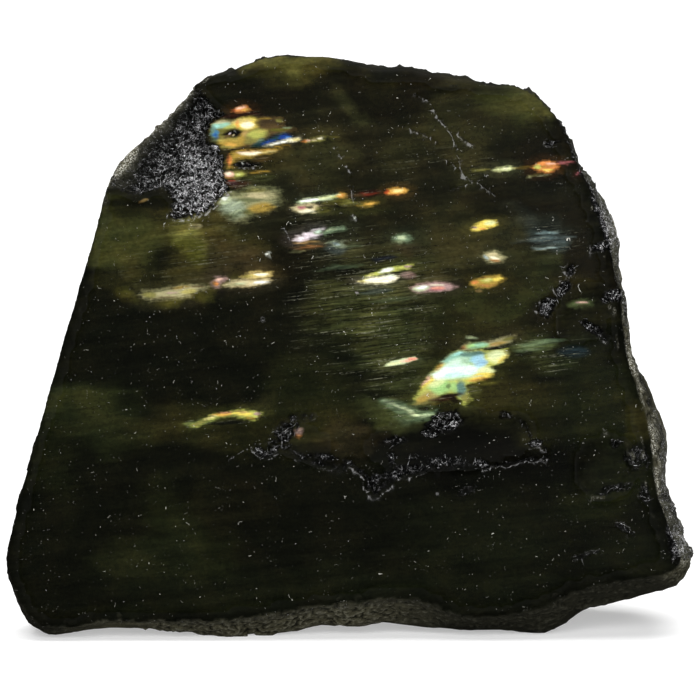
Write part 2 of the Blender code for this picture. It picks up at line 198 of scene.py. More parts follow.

# Soft glows deep in the face, partly the stone's own body colour and partly its dull labradorescent sheen
# painted as fixed colour, in the order in which they lie over each other: ovals, each with its colour
# first and its strength last.
GLOWS = (
    ("khaki_shade", 1.4, 64.7, 47.8, 27.5, 0, 0.8), ("olive_gold", -4.1, 81.5, 8.7, 3.5, 3, 0.85),
    ("sun_olive", -7.2, 82.9, 7.2, 1.3, 4, 0.45), ("dusk", -12.2, 77.1, 9.6, 4.3, 0, 0.95),
    ("dusk", 7.0, 79.8, 12.2, 4.9, 8, 0.95), ("khaki", 14.5, 70.5, 8.1, 8.1, -25, 0.65),
    ("khaki", 21.8, 77.1, 10.1, 4.9, -10, 0.5), ("leaf_olive", 26.7, 76.8, 9, 5.8, -38, 0.8),
    ("dusk", 28.3, 70.8, 8.7, 3.5, 20, 0.95), ("khaki", -4.6, 69.3, 8.7, 4.9, 0, 0.8),
    ("light_khaki", 0.6, 76.0, 4.1, 1.7, 0, 0.35), ("grey_olive", -14.5, 66.1, 8.7, 4.3, 0, 0.7),
    ("dusk", 23.2, 62.6, 15.9, 2.6, 0, 0.8), ("leaf_olive", -33.6, 58.9, 8.4, 6.4, 20, 0.8),
    ("olive_gold", -22.3, 56.8, 11, 6.7, 10, 0.75), ("brown_olive", -18.0, 54.2, 10.1, 5.2, 8, 0.8),
    ("olive_gold", -29.0, 51.3, 9.6, 2.6, 6, 0.25), ("dusk", -11.3, 54.2, 7.8, 9, 5, 0.95),
    ("khaki", 13.3, 55.7, 13.9, 7.8, 8, 0.85), ("blue_grey", 28.7, 58.0, 11, 4.3, 0, 0.85),
    ("sage", 27.3, 53.6, 8.7, 3.8, 0, 0.6), ("dusk", 35.1, 54.2, 5.8, 11, 0, 0.95),
    ("grey_olive", 21.8, 45.5, 18.8, 9, 6, 0.85), ("sage", 6.1, 44.4, 11.3, 13.9, 0, 0.85),
    ("pale_sage", 2.0, 47.0, 9.6, 7.8, 5, 0.5), ("light_khaki", 7.2, 49.9, 8.7, 4.3, 5, 0.5),
    ("pale_sage", 7.5, 41.2, 6.4, 6.4, 0, 0.35), ("pale_sage", 4.9, 33.3, 9, 3.5, -6, 1),
    ("sage_green", 7.5, 33.1, 4.3, 1.7, -10, 0.45), ("grey_olive", 20.6, 34.5, 18.8, 6.7, -4, 0.8),
    ("dusk", 26.8, 46.7, 11, 4.9, 6, 0.9), ("pine", 34.8, 34.8, 10.7, 13, 0, 0.8),
    ("sea_green", 28.7, 41.5, 8.7, 3.2, 3, 0.7), ("olive_gold", 42.0, 33.9, 2.3, 7.2, -15, 0.3),
    ("sea_green", -36.8, 32.2, 12.2, 5.8, -4, 0.6), ("olive", -36.8, 33.9, 5.8, 1.7, 8, 0.5),
    ("grey_olive", -20.3, 29.9, 18.8, 4.9, -4, 0.7), ("khaki", -12.8, 32.8, 7.8, 3.2, 6, 0.7),
    ("grey_olive", -5.5, 30.7, 8.7, 5.8, 10, 0.85), ("brown_olive", 0.3, 28.4, 8.7, 3.5, 0, 0.5),
    ("pine", -7.8, 36.8, 8.7, 8.7, 0, 0.7), ("pine", -43.2, 24.1, 7.2, 10.1, 0, 0.5),
    ("pine", -23.8, 15.4, 13.9, 9, 4, 0.95), ("sage", -29.0, 11.6, 13, 4.9, 4, 0.25),
    ("dusk", -18.6, 18.8, 9.3, 5.8, 0, 0.7), ("moss", -27.5, 12.8, 8.7, 4.3, 5, 0.6),
    ("moss", 17.4, 13.3, 21.8, 8.7, 0, 0.6), ("pine", 36.2, 22.9, 10.7, 8.7, 0, 0.7),
    ("moss", -7.2, 6.7, 43.5, 5.8, 0, 0.55), ("moss", 42.0, 11.6, 8.7, 5.8, 0, 0.5),
    ("sun_olive", -23.2, 58.0, 4.6, 3.2, 12, 0.62), ("ripple_olive", -24.2, 55.5, 4.3, 2.6, 12, 0.7),
    ("sage", -35.4, 59.4, 2.9, 2.9, 0, 0.6), ("olive", 0.9, 62.3, 9.3, 1.7, 6, 0.5),
    ("olive", 22.5, 48.6, 8.7, 2.6, 3, 0.7), ("steel", 27.3, 57.1, 7.2, 2.3, -3, 0.75),
    ("brown_olive", 8.7, 56.5, 2.3, 1.4, 0, 0.9), ("ripple_olive", -24.6, 49.6, 7.2, 1.9, 7, 0.6),
    ("black", 17.4, 26.7, 17.4, 4.3, -3, 0.95), ("black", 18.8, 23.5, 15.9, 3.8, 0, 0.7),
    ("black", -32.2, 62.3, 4.9, 2.9, 0, 0.7), ("black", -7.2, 26.7, 8.1, 2, -12, 0.7),
)

# The flashes are the stone's labradorescence, colour that its lamellae reflect only at some angles, painted
# here as fixed colour that shows from every side.
# Flashes, in the order in which they lie over the glows and each other: each is an outline with its
# colour and the softness of its edge in millimetres, and the strokes inside it. A stroke is an oval with
# its colour first and its strength last. Strokes without an outline lie straight on the face.
FLASHES = (
    ((), "", 0, (
        ("maroon", -15.7, 75.3, 4.3, 0.49, 3, 0.9), ("dark_brown", -15.1, 75.8, 2.9, 0.38, 3, 0.9),
    )),
    ((
        (-17.0, 76.0), (-16.5, 76.5), (-15.8, 76.8), (-14.9, 76.6), (-14.2, 76.1), (-14.6, 75.8),
        (-15.9, 75.8),
    ), "orange", 0.3, (
        ("rose", -15.7, 76.5, 1, 0.35, 0, 0.8), ("gold", -14.8, 76.1, 0.87, 0.32, 0, 0.9),
        ("red", -16.7, 76.1, 0.58, 0.43, 0, 0.8),
    )),
    ((
        (-20.6, 73.5), (-19.7, 74.6), (-18.7, 74.9), (-17.0, 74.8), (-15.8, 75.1), (-13.9, 75.0),
        (-12.2, 75.2), (-10.1, 75.1), (-9.4, 74.7), (-9.9, 74.0), (-8.6, 73.7), (-7.8, 73.2),
        (-9.3, 72.9), (-11.0, 72.6), (-12.5, 71.8), (-13.5, 71.1), (-14.9, 70.8), (-16.8, 70.4),
        (-18.6, 70.6), (-19.6, 71.5), (-20.3, 72.6),
    ), "umber", 0.39, (
        ("sun_olive", -17.7, 72.8, 3.5, 2.8, 0, 1), ("ripple_olive", -18.6, 73.2, 2.3, 2, 0, 0.7),
        ("dull_yellow", -18.0, 71.3, 2.3, 1.2, 0, 0.9), ("khaki_green", -18.0, 74.1, 2.8, 0.93, 3, 1),
        ("pale_teal", -18.6, 74.0, 1.7, 0.72, 6, 0.85), ("sand", -18.6, 74.5, 1.3, 0.29, 3, 0.6),
        ("pale_cyan", -19.3, 73.7, 0.72, 0.43, 20, 0.5),
        ("yellow_green", -17.3, 73.7, 1.2, 0.49, 10, 0.7), ("grey_teal", -19.6, 72.9, 0.87, 1.4, 0, 0.9),
        ("blue", -19.3, 72.6, 0.61, 0.87, 0, 0.8), ("deep_blue", -19.3, 72.5, 0.35, 0.43, 0, 0.6),
        ("dark_teal", -19.4, 71.5, 0.72, 0.72, 0, 0.6),
        ("ripple_olive", -19.1, 71.2, 1.2, 0.58, -10, 0.8), ("yellow", -14.9, 74.2, 2.5, 1.3, 2, 1),
        ("sand_yellow", -15.5, 74.5, 2, 0.58, 2, 0.8), ("cream", -14.8, 73.9, 1.3, 0.58, 3, 0.9),
        ("orange", -16.2, 74.1, 0.38, 0.87, -6, 0.6), ("umber", -13.3, 74.4, 0.58, 0.87, 0, 0.6),
        ("dull_amber", -17.3, 71.2, 2.6, 0.93, 3, 0.95), ("gold", -17.3, 71.1, 1.2, 0.38, 4, 0.9),
        ("sun_olive", -18.0, 70.8, 1.4, 0.29, 3, 0.8), ("dull_amber", -15.5, 72.2, 1.2, 1.3, -20, 0.9),
        ("tan", -15.1, 72.8, 0.72, 0.72, 0, 0.6), ("sun_olive", -14.6, 71.6, 1, 0.58, 0, 0.8),
        ("sun_olive", -13.6, 72.4, 2.2, 1.3, 8, 0.95), ("yellow_green", -13.5, 72.7, 1.7, 0.87, 8, 0.8),
        ("dull_yellow", -12.8, 73.1, 1.4, 0.26, 6, 0.8), ("grey_teal", -13.0, 71.7, 0.87, 0.43, 20, 0.7),
        ("brown", -11.6, 74.3, 2.6, 1, 3, 0.95), ("umber", -11.0, 73.9, 2, 0.35, 3, 0.6),
        ("dull_gold", -12.2, 74.9, 1.4, 0.23, 2, 0.7), ("sun_olive", -10.0, 74.7, 0.72, 0.38, 10, 0.9),
        ("sage_green", -9.0, 73.7, 1.2, 0.26, 5, 0.6), ("ripple_olive", -10.4, 73.3, 2, 0.26, 4, 0.9),
        ("dark_brown", -17.0, 72.7, 1.9, 0.96, 14, 0.95), ("black", -16.9, 72.7, 1.4, 0.67, 14, 1),
        ("umber", -17.7, 72.2, 0.87, 0.23, 20, 0.8), ("umber", -18.6, 72.0, 1.2, 0.2, -10, 0.5),
        ("white", -16.7, 73.0, 0.17, 0.12, 0, 0.9), ("lavender", -17.4, 72.6, 0.13, 0.1, 0, 0.8),
        ("sand", -17.0, 72.4, 0.13, 0.09, 0, 0.8),
    )),
    ((), "", 0, (
        ("dark_teal", -12.8, 71.3, 2, 0.49, 12, 0.9),
    )),
    ((
        (-13.6, 71.1), (-12.5, 71.8), (-11.3, 72.5), (-9.7, 72.9), (-8.6, 72.4), (-8.0, 72.1),
        (-8.8, 71.8), (-10.9, 71.4), (-12.8, 71.0),
    ), "night_blue", 0.39, (
        ("deep_blue", -11.9, 71.5, 1.4, 0.43, 20, 0.8), ("deep_blue", -9.6, 72.3, 1.4, 0.52, 8, 0.9),
        ("bright_blue", -9.0, 72.1, 0.72, 0.26, 8, 0.5), ("dark_teal", -10.9, 72.1, 1.2, 0.29, 20, 0.7),
        ("grey_teal", -10.3, 72.8, 1.4, 0.2, 8, 0.7),
    )),
    ((
        (-12.5, 71.0), (-11.3, 71.3), (-9.9, 71.7), (-8.6, 72.0), (-7.5, 72.2), (-7.2, 71.9),
        (-8.4, 71.5), (-9.9, 71.3), (-11.3, 71.0),
    ), "cream", 0.25, (
        ("white", -10.3, 71.4, 1.9, 0.25, 9, 0.9), ("pale_yellow", -7.8, 71.9, 0.87, 0.29, 9, 0.9),
    )),
    ((), "", 0, (
        ("dull_gold", -9.7, 71.0, 2.5, 0.16, 8, 0.9),
    )),
    ((
        (-7.2, 71.6), (-6.7, 71.9), (-5.5, 72.1), (-4.3, 72.4), (-3.5, 72.3), (-3.7, 71.8), (-4.8, 71.6),
        (-6.1, 71.4),
    ), "sun_olive", 0.35, (
        ("orange", -6.7, 71.7, 0.72, 0.35, 5, 0.95), ("rose", -6.0, 71.8, 0.49, 0.29, 0, 0.8),
        ("sand", -5.1, 71.9, 0.58, 0.29, 6, 0.9), ("cream", -4.2, 72.1, 0.58, 0.26, 6, 0.8),
    )),
    ((), "", 0, (
        ("sun_olive", -2.6, 72.2, 0.87, 0.22, 5, 0.7), ("black", -15.8, 70.5, 2.8, 0.2, 1, 0.9),
    )),
    ((
        (-17.9, 68.7), (-17.4, 69.7), (-16.4, 70.3), (-14.2, 70.4), (-10.6, 70.5), (-9.7, 70.6),
        (-10.9, 70.1), (-12.8, 69.5), (-14.8, 69.3), (-16.4, 68.9), (-16.8, 67.9), (-17.7, 67.8),
    ), "dull_amber", 0.37, (
        ("gold", -13.6, 70.4, 3.8, 0.19, 1, 0.8), ("cream", -14.4, 70.0, 2.2, 0.38, 3, 0.9),
        ("rose", -15.1, 70.0, 1.7, 0.23, 3, 0.4), ("orange", -17.5, 69.0, 0.58, 1.3, 10, 0.9),
        ("red", -17.7, 69.0, 0.29, 0.87, 0, 0.5), ("sand_yellow", -11.6, 70.1, 1.9, 0.26, 5, 0.9),
        ("umber", -12.8, 69.5, 1.7, 0.38, 4, 0.8),
    )),
    ((), "", 0, (
        ("umber", -12.8, 69.0, 2, 0.58, 2, 0.5), ("black", -14.9, 68.3, 2.9, 0.78, 2, 1),
        ("white", -15.5, 68.4, 0.16, 0.12, 0, 0.9), ("lavender", -14.9, 68.4, 0.22, 0.13, 0, 1),
        ("white", -15.2, 68.1, 0.12, 0.09, 0, 0.8), ("sand", -14.4, 68.1, 0.1, 0.07, 0, 0.8),
        ("maroon", -16.5, 65.4, 2.6, 0.87, 0, 0.9), ("mauve", -17.0, 65.5, 1.2, 0.43, 0, 0.6),
        ("olive", -12.8, 66.4, 2.9, 0.87, 3, 0.7),
    )),
    ((
        (-18.3, 67.0), (-17.7, 67.4), (-16.5, 67.5), (-15.2, 67.2), (-15.1, 66.6), (-16.4, 66.2),
        (-17.8, 66.1), (-18.3, 66.5),
    ), "sun_olive", 0.35, (
        ("rose", -17.5, 66.9, 1.1, 0.61, 0, 1), ("cream", -17.6, 67.0, 0.58, 0.29, 0, 0.8),
        ("copper", -17.3, 66.3, 1, 0.19, 0, 0.9), ("yellow_green", -15.9, 66.8, 0.87, 0.43, 0, 0.9),
        ("lime_cream", -16.1, 66.8, 0.43, 0.19, 0, 0.5),
    )),
    ((), "", 0, (
        ("dull_gold", -13.2, 67.2, 2, 0.23, 2, 0.7), ("red", -17.3, 65.9, 1, 0.19, 0, 0.8),
    )),
    ((
        (-19.4, 62.9), (-19.0, 63.5), (-18.0, 64.0), (-17.0, 64.3), (-15.4, 64.3), (-14.1, 65.0),
        (-12.2, 64.9), (-10.1, 64.5), (-10.3, 63.2), (-10.9, 62.2), (-11.7, 61.4), (-13.3, 61.1),
        (-14.4, 60.9), (-14.9, 60.1), (-16.7, 60.0), (-18.0, 61.1), (-19.0, 61.9),
    ), "khaki_green", 0.79, (
        ("grey_green", -17.0, 61.8, 2.8, 2.2, 0, 0.9), ("pale_green", -18.0, 63.2, 1.3, 0.72, 20, 0.7),
        ("white", -18.0, 63.5, 0.72, 0.38, 20, 0.7), ("lavender", -17.9, 64.0, 0.29, 0.17, 0, 0.8),
        ("tan_khaki", -12.8, 63.8, 3.2, 1, 4, 0.7), ("sand", -13.3, 63.8, 1.9, 0.43, 4, 0.5),
        ("moss_green", -14.5, 63.2, 2.9, 0.43, 4, 0.7), ("dull_amber", -12.6, 61.9, 2.5, 1.2, 4, 0.95),
        ("sun_olive", -13.6, 64.5, 2.6, 0.35, 4, 0.8), ("moss_green", -15.4, 61.5, 1.7, 0.58, 10, 0.6),
        ("moss_green", -17.1, 60.8, 1.7, 0.58, 0, 0.7), ("dull_gold", -12.2, 62.3, 1, 0.29, 5, 0.8),
        ("pale_green", -16.5, 62.6, 1.3, 0.17, 30, 0.4), ("pale_green", -15.9, 61.5, 1.2, 0.19, 30, 0.35),
        ("pale_green", -17.0, 61.2, 1, 0.17, 30, 0.35), ("moss_green", -15.1, 62.5, 1, 0.19, 30, 0.6),
        ("ripple_olive", -14.5, 61.3, 1, 0.58, 0, 0.6),
    )),
    ((), "", 0, (
        ("tan_khaki", -22.3, 59.3, 1.3, 0.58, 10, 0.7), ("sun_olive", -23.5, 58.4, 1.7, 0.72, 20, 0.6),
        ("sun_olive", -24.9, 57.4, 1.3, 0.43, 24, 0.5), ("ripple_olive", -21.8, 56.5, 1.4, 0.43, 10, 0.6),
        ("sun_olive", -23.8, 56.0, 1.3, 0.35, 30, 0.4),
    )),
    ((
        (-30.2, 49.2), (-29.6, 50.0), (-27.8, 50.2), (-25.8, 50.4), (-24.5, 50.8), (-22.9, 50.9),
        (-21.3, 50.8), (-20.7, 50.5), (-22.3, 49.7), (-23.2, 49.2), (-25.8, 48.8), (-28.7, 48.7),
    ), "tan_khaki", 0.49, (
        ("sun_olive", -28.9, 49.5, 1.4, 0.72, 5, 0.9), ("tan_khaki", -26.0, 49.4, 1.7, 0.52, 4, 1),
        ("dusty_pink", -25.8, 49.7, 1.2, 0.23, 4, 0.6), ("dull_yellow", -23.2, 49.9, 1.4, 0.49, 6, 0.7),
        ("dull_gold", -24.4, 50.5, 1.9, 0.35, 8, 0.8), ("umber", -27.0, 49.0, 2.3, 0.23, 3, 0.7),
        ("umber", -22.0, 50.6, 1.3, 0.26, 5, 0.9), ("umber", -22.2, 49.4, 1, 0.43, 0, 0.8),
        ("khaki_green", -27.5, 50.0, 1.4, 0.17, 5, 0.7),
    )),
    ((
        (-20.1, 50.8), (-19.7, 51.5), (-19.3, 52.0), (-18.0, 52.1), (-17.8, 51.6), (-18.7, 51.1),
        (-19.0, 50.5), (-19.7, 50.5),
    ), "dusty_pink", 0.39, (
        ("rose", -19.0, 51.6, 0.87, 0.26, 5, 0.7), ("copper", -19.5, 51.0, 0.72, 0.49, 0, 1),
        ("orange", -19.4, 51.0, 0.43, 0.2, 0, 0.8),
    )),
    ((
        (-18.7, 50.8), (-17.3, 51.4), (-14.5, 51.8), (-11.9, 51.9), (-11.3, 51.5), (-12.2, 51.0),
        (-14.5, 50.6), (-17.1, 50.5),
    ), "sand", 0.35, (
        ("white", -12.8, 51.3, 1.6, 0.32, 3, 0.9), ("khaki_green", -16.5, 50.9, 2.2, 0.38, 5, 0.8),
        ("pale_green", -15.4, 51.2, 1.3, 0.17, 5, 0.7), ("umber", -14.2, 51.6, 1.4, 0.17, 4, 0.4),
    )),
    ((
        (-15.7, 52.0), (-14.5, 52.6), (-12.8, 52.9), (-11.3, 52.8), (-11.3, 52.2), (-12.8, 51.8),
        (-14.5, 51.6),
    ), "sand_yellow", 0.35, (
        ("cream", -12.9, 52.4, 1.3, 0.25, 3, 1), ("dull_yellow", -14.8, 52.1, 1, 0.26, 6, 0.8),
    )),
    ((), "", 0, (
        ("white", -11.8, 55.5, 0.61, 0.17, 5, 1), ("tan", -29.7, 63.1, 0.72, 0.35, 20, 0.45),
        ("maroon", 2.6, 64.0, 3.2, 0.55, 5, 0.95), ("red", 2.3, 64.0, 2.3, 0.35, 5, 0.7),
        ("ripple_olive", -2.0, 62.9, 2.9, 0.58, 8, 0.6), ("sage", -4.9, 61.5, 3.2, 0.72, 6, 0.8),
    )),
    ((
        (-7.7, 62.9), (-6.5, 63.4), (-4.6, 63.7), (-2.8, 64.0), (-1.6, 64.0), (-1.3, 63.7), (-2.8, 63.3),
        (-4.6, 63.0), (-6.1, 62.7), (-7.2, 62.6),
    ), "pale_green", 0.25, (
        ("white", -5.9, 63.2, 1.7, 0.32, 8, 1), ("lime_cream", -3.6, 63.7, 1.4, 0.2, 8, 0.9),
        ("yellow_green", -2.2, 63.6, 1.2, 0.23, 7, 0.8),
    )),
    ((
        (-2.0, 63.7), (-1.4, 64.2), (-0.7, 64.1), (-0.3, 63.7), (-0.9, 63.4), (-1.6, 63.4),
    ), "gold", 0.27, (
        ("orange", -1.2, 63.8, 0.58, 0.23, 0, 0.8), ("pale_yellow", -1.4, 63.9, 0.38, 0.14, 0, 0.8),
    )),
    ((), "", 0, (
        ("brown", 0.9, 63.8, 1.7, 0.35, 3, 0.9), ("maroon", 3.2, 64.4, 2, 0.35, 3, 0.8),
    )),
    ((
        (5.1, 64.2), (5.5, 64.7), (6.5, 64.9), (7.8, 64.9), (8.4, 64.6), (7.8, 64.2), (6.5, 63.9),
        (5.4, 63.9),
    ), "gold", 0.27, (
        ("red_orange", 5.3, 64.3, 0.58, 0.67, 0, 1), ("orange", 6.8, 63.9, 1.6, 0.25, 3, 0.95),
        ("pale_yellow", 6.8, 64.5, 1, 0.26, 4, 0.95), ("ripple_olive", 8.7, 64.5, 0.72, 0.38, 0, 0.9),
    )),
    ((
        (-8.6, 62.0), (-7.7, 62.5), (-5.8, 62.7), (-4.2, 62.3), (-4.2, 61.6), (-5.4, 61.2), (-7.2, 61.1),
        (-8.2, 61.5),
    ), "sand", 0.32, (
        ("mauve_pink", -6.9, 62.1, 1.1, 0.36, 2, 1), ("black", -5.7, 62.1, 0.67, 0.35, 0, 1),
        ("cream", -6.1, 61.4, 1.7, 0.38, 3, 1), ("sun_olive", -4.5, 61.9, 0.58, 0.43, 0, 0.8),
    )),
    ((), "", 0, (
        ("ripple_olive", -3.9, 61.7, 1.4, 0.67, 5, 0.6), ("sun_olive", -0.3, 62.6, 1.7, 0.58, 5, 0.75),
    )),
    ((
        (0.9, 62.3), (1.6, 62.9), (2.9, 63.0), (3.9, 62.9), (3.9, 62.5), (2.9, 62.1), (1.6, 62.1),
    ), "dull_gold", 0.39, (
        ("gold", 2.8, 62.6, 1.2, 0.26, 4, 0.9), ("sun_olive", 1.4, 62.5, 0.58, 0.23, 5, 0.8),
    )),
    ((), "", 0, (
        ("white", 0.7, 60.5, 0.2, 0.43, -15, 0.8),
    )),
    ((
        (-8.3, 57.4), (-7.8, 58.1), (-7.1, 58.1), (-6.7, 58.5), (-5.8, 58.5), (-5.4, 58.9), (-3.9, 59.0),
        (-3.9, 58.4), (-4.8, 57.8), (-5.7, 57.7), (-6.2, 57.2), (-7.5, 57.1),
    ), "lavender", 0.32, (
        ("grey_green", -4.6, 58.5, 1, 0.49, 10, 1), ("mint", -4.5, 58.6, 0.58, 0.23, 10, 0.7),
        ("white", -7.2, 57.7, 0.72, 0.29, 10, 0.6), ("dusty_pink", -6.4, 57.4, 1.2, 0.2, 8, 0.5),
    )),
    ((
        (-4.3, 58.4), (-2.9, 59.0), (-0.9, 59.3), (-0.7, 58.9), (-2.2, 58.4), (-3.6, 58.1),
    ), "sage_green", 0.39, (
        ("pale_green", -2.8, 58.8, 1.2, 0.2, 8, 0.6), ("grey_green", -1.7, 59.0, 0.87, 0.2, 8, 0.5),
    )),
    ((), "", 0, (
        ("brown", -5.5, 56.5, 3.8, 0.87, 5, 0.8), ("steel", -2.0, 56.1, 2, 1.2, 0, 0.8),
        ("tan", -6.1, 57.1, 2.5, 0.25, 4, 0.6), ("copper", -5.9, 56.3, 2.3, 0.25, 4, 0.4),
        ("khaki_green", -7.2, 55.8, 1.9, 0.23, 5, 0.4), ("sage_green", 0.0, 56.4, 2.6, 0.32, 5, 0.3),
    )),
    ((
        (-2.9, 56.7), (-2.2, 57.1), (-1.0, 57.1), (-1.0, 56.6), (-1.9, 56.4),
    ), "grey_green", 0.59, (
        ("pale_steel", -1.9, 56.8, 0.72, 0.23, 5, 0.7),
    )),
    ((
        (5.9, 57.4), (6.7, 58.0), (7.8, 58.1), (8.8, 57.8), (8.6, 57.2), (7.2, 56.9),
    ), "sage_green", 0.49, (
        ("pale_green", 7.5, 57.7, 1, 0.35, 3, 0.9), ("khaki_green", 7.2, 57.1, 1.2, 0.43, 0, 0.5),
    )),
    ((), "", 0, (
        ("navy", 4.9, 54.8, 2.6, 0.38, 4, 0.6), ("steel", 3.8, 49.9, 3.2, 0.58, 4, 0.6),
        ("sage_green", -1.4, 53.4, 4.3, 0.35, 8, 0.22), ("khaki_green", 0.0, 50.3, 3.8, 0.35, 6, 0.2),
        ("sage_green", 6.1, 48.7, 4.3, 0.43, 7, 0.2),
    )),
    ((
        (2.2, 52.1), (4.1, 53.0), (6.1, 53.6), (8.0, 53.9), (9.1, 53.9), (8.8, 53.3), (7.2, 53.0),
        (5.5, 52.6), (3.8, 52.2),
    ), "yellow_green", 0.25, (
        ("white", 5.2, 53.0, 1.4, 0.35, 12, 1), ("dusty_pink", 8.4, 53.6, 0.87, 0.32, 5, 1),
        ("pale_yellow", 3.0, 52.4, 0.72, 0.23, 20, 0.7),
    )),
    ((), "", 0, (
        ("black", 5.9, 52.5, 2.3, 0.25, 8, 0.8), ("dusty_pink", 8.4, 52.3, 1.4, 0.72, 5, 0.75),
    )),
    ((
        (0.9, 51.4), (2.3, 51.8), (3.6, 52.1), (5.8, 52.4), (7.1, 52.1), (6.7, 51.5), (5.2, 51.0),
        (3.5, 50.9), (2.0, 51.2),
    ), "cream", 0.25, (
        ("pale_yellow", 1.7, 51.4, 1, 0.29, 5, 1), ("sun_olive", 3.9, 51.0, 2, 0.2, 0, 0.9),
        ("mint", 5.8, 52.1, 0.87, 0.23, 5, 0.8), ("yellow_green", 2.3, 51.7, 1, 0.17, 12, 0.6),
    )),
    ((
        (8.8, 50.4), (9.7, 51.0), (11.3, 51.2), (12.8, 51.3), (14.2, 51.2), (15.5, 50.6), (14.5, 50.0),
        (12.8, 49.8), (10.7, 49.8), (9.3, 49.9),
    ), "dusty_pink", 0.32, (
        ("pale_green", 10.3, 50.4, 1.6, 0.49, 6, 1), ("white", 10.4, 50.5, 1, 0.23, 6, 0.9),
        ("salmon", 12.8, 50.4, 1.3, 0.38, 4, 0.9), ("mauve_pink", 12.5, 50.1, 1.7, 0.19, 3, 0.8),
        ("cream", 12.5, 50.8, 1.3, 0.17, 4, 0.6),
    )),
    ((), "", 0, (
        ("lavender", 0.9, 49.7, 0.19, 0.13, 0, 0.8),
    )),
    ((
        (20.3, 67.5), (21.5, 67.9), (23.1, 68.1), (23.9, 67.9), (22.9, 67.4), (21.5, 67.3),
    ), "lime_cream", 0.3, (
        ("cream", 22.5, 67.7, 0.87, 0.22, 3, 0.8),
    )),
    ((), "", 0, (
        ("sun_olive", 18.8, 67.6, 2, 0.23, 3, 0.8), ("dull_gold", 24.9, 67.9, 2, 0.23, 3, 0.6),
        ("khaki_green", 26.0, 66.6, 0.72, 0.2, 3, 0.8), ("mauve_pink", 30.9, 68.5, 1.9, 0.28, 6, 0.9),
        ("olive", 27.5, 66.7, 2, 0.29, 3, 0.8),
    )),
    ((
        (26.2, 67.7), (27.0, 68.4), (28.6, 68.9), (29.9, 68.6), (30.0, 67.6), (28.7, 67.0), (27.1, 67.1),
    ), "orange", 0.32, (
        ("yellow_green", 27.1, 67.8, 0.87, 0.49, 0, 0.95), ("copper", 28.7, 67.9, 1.3, 0.38, 5, 0.9),
        ("rose", 28.9, 68.3, 1, 0.19, 5, 0.8), ("yellow", 28.6, 67.4, 1.2, 0.23, 3, 0.9),
        ("dull_gold", 28.0, 67.8, 0.58, 0.23, 0, 0.8),
    )),
    ((
        (31.9, 66.3), (32.5, 67.1), (34.1, 67.8), (34.2, 67.4), (33.1, 66.6),
    ), "maroon", 0.39, (
        ("mauve_pink", 33.1, 67.0, 0.72, 0.23, 30, 0.8),
    )),
    ((
        (17.3, 58.9), (18.0, 59.6), (19.4, 60.2), (21.3, 60.3), (21.6, 59.7), (20.6, 59.1), (18.8, 58.8),
        (17.7, 58.7),
    ), "yellow", 0.27, (
        ("dusty_pink", 17.9, 59.2, 0.72, 0.25, 0, 1), ("lime_cream", 20.4, 59.8, 1.2, 0.38, 8, 0.95),
        ("orange", 19.1, 59.0, 0.87, 0.19, 4, 0.9), ("dull_gold", 20.2, 59.2, 1, 0.19, 6, 0.9),
    )),
    ((), "", 0, (
        ("pale_steel", 28.7, 57.5, 3.5, 0.8, 3, 0.18), ("pale_steel", 28.7, 58.4, 2.3, 0.19, 4, 0.45),
        ("pale_steel", 30.2, 57.7, 2.6, 0.16, 2, 0.4), ("pale_steel", 28.0, 56.2, 2.8, 0.2, 3, 0.55),
        ("pale_steel", 30.4, 57.1, 2, 0.16, 3, 0.4), ("blue_grey", 24.6, 57.0, 1.7, 0.22, 5, 0.7),
    )),
    ((
        (19.0, 54.8), (19.6, 55.5), (20.9, 55.8), (22.0, 55.5), (22.5, 54.8), (21.8, 54.1), (20.3, 53.9),
        (19.4, 54.2),
    ), "tan_khaki", 0.35, (
        ("sand", 20.7, 55.2, 1.3, 0.25, 3, 0.9), ("cream", 20.7, 54.7, 1, 0.23, 0, 0.9),
        ("copper", 20.9, 54.3, 1.2, 0.26, 0, 0.9), ("pale_steel", 19.5, 54.8, 0.43, 0.52, 0, 0.7),
    )),
    ((
        (17.2, 51.0), (18.1, 51.8), (19.9, 52.3), (21.6, 52.4), (22.5, 51.8), (21.6, 51.0), (19.9, 50.5),
        (18.0, 50.5),
    ), "dull_amber", 0.32, (
        ("orange", 18.1, 51.2, 0.87, 0.38, 0, 0.9), ("yellow_green", 19.9, 51.6, 1.3, 0.43, 8, 1),
        ("pale_yellow", 19.9, 51.7, 0.87, 0.2, 8, 0.7), ("yellow", 21.4, 51.8, 0.94, 0.43, 5, 0.9),
        ("copper", 19.7, 50.8, 2, 0.2, 5, 0.9), ("copper", 18.8, 52.0, 1.2, 0.14, 8, 0.6),
    )),
    ((), "", 0, (
        ("tan", 18.8, 50.0, 0.58, 0.32, 5, 0.6),
    )),
    ((
        (31.5, 48.1), (32.2, 48.6), (33.6, 48.8), (35.2, 48.5), (34.8, 47.8), (33.3, 47.6), (32.0, 47.6),
    ), "moss_green", 0.49, (
        ("dusty_pink", 33.3, 48.3, 1.2, 0.26, 2, 0.8), ("rose", 33.5, 48.3, 0.72, 0.14, 2, 0.6),
        ("brown", 33.5, 47.8, 1.3, 0.19, 2, 0.7),
    )),
    ((
        (4.8, 39.2), (5.9, 39.8), (7.5, 40.3), (9.8, 40.5), (9.8, 40.1), (8.3, 39.6), (6.5, 39.2),
        (5.2, 39.1),
    ), "pale_green", 0.14, (
        ("lime_cream", 6.7, 39.6, 2, 0.29, 14, 0.9), ("salmon", 8.8, 40.1, 1.3, 0.38, 8, 1),
        ("rose", 7.8, 40.0, 0.72, 0.2, 10, 0.9),
    )),
    ((), "", 0, (
        ("moss_green", 26.7, 42.0, 4.1, 1.3, 5, 0.85), ("sage_green", 27.3, 42.5, 3.8, 0.58, 6, 0.35),
        ("sage_green", 25.8, 41.5, 2.6, 0.43, 4, 0.3), ("sage_green", 29.3, 42.8, 2.6, 0.35, 6, 0.3),
        ("night_blue", 32.2, 41.2, 2.9, 1.4, 0, 0.6),
    )),
    ((
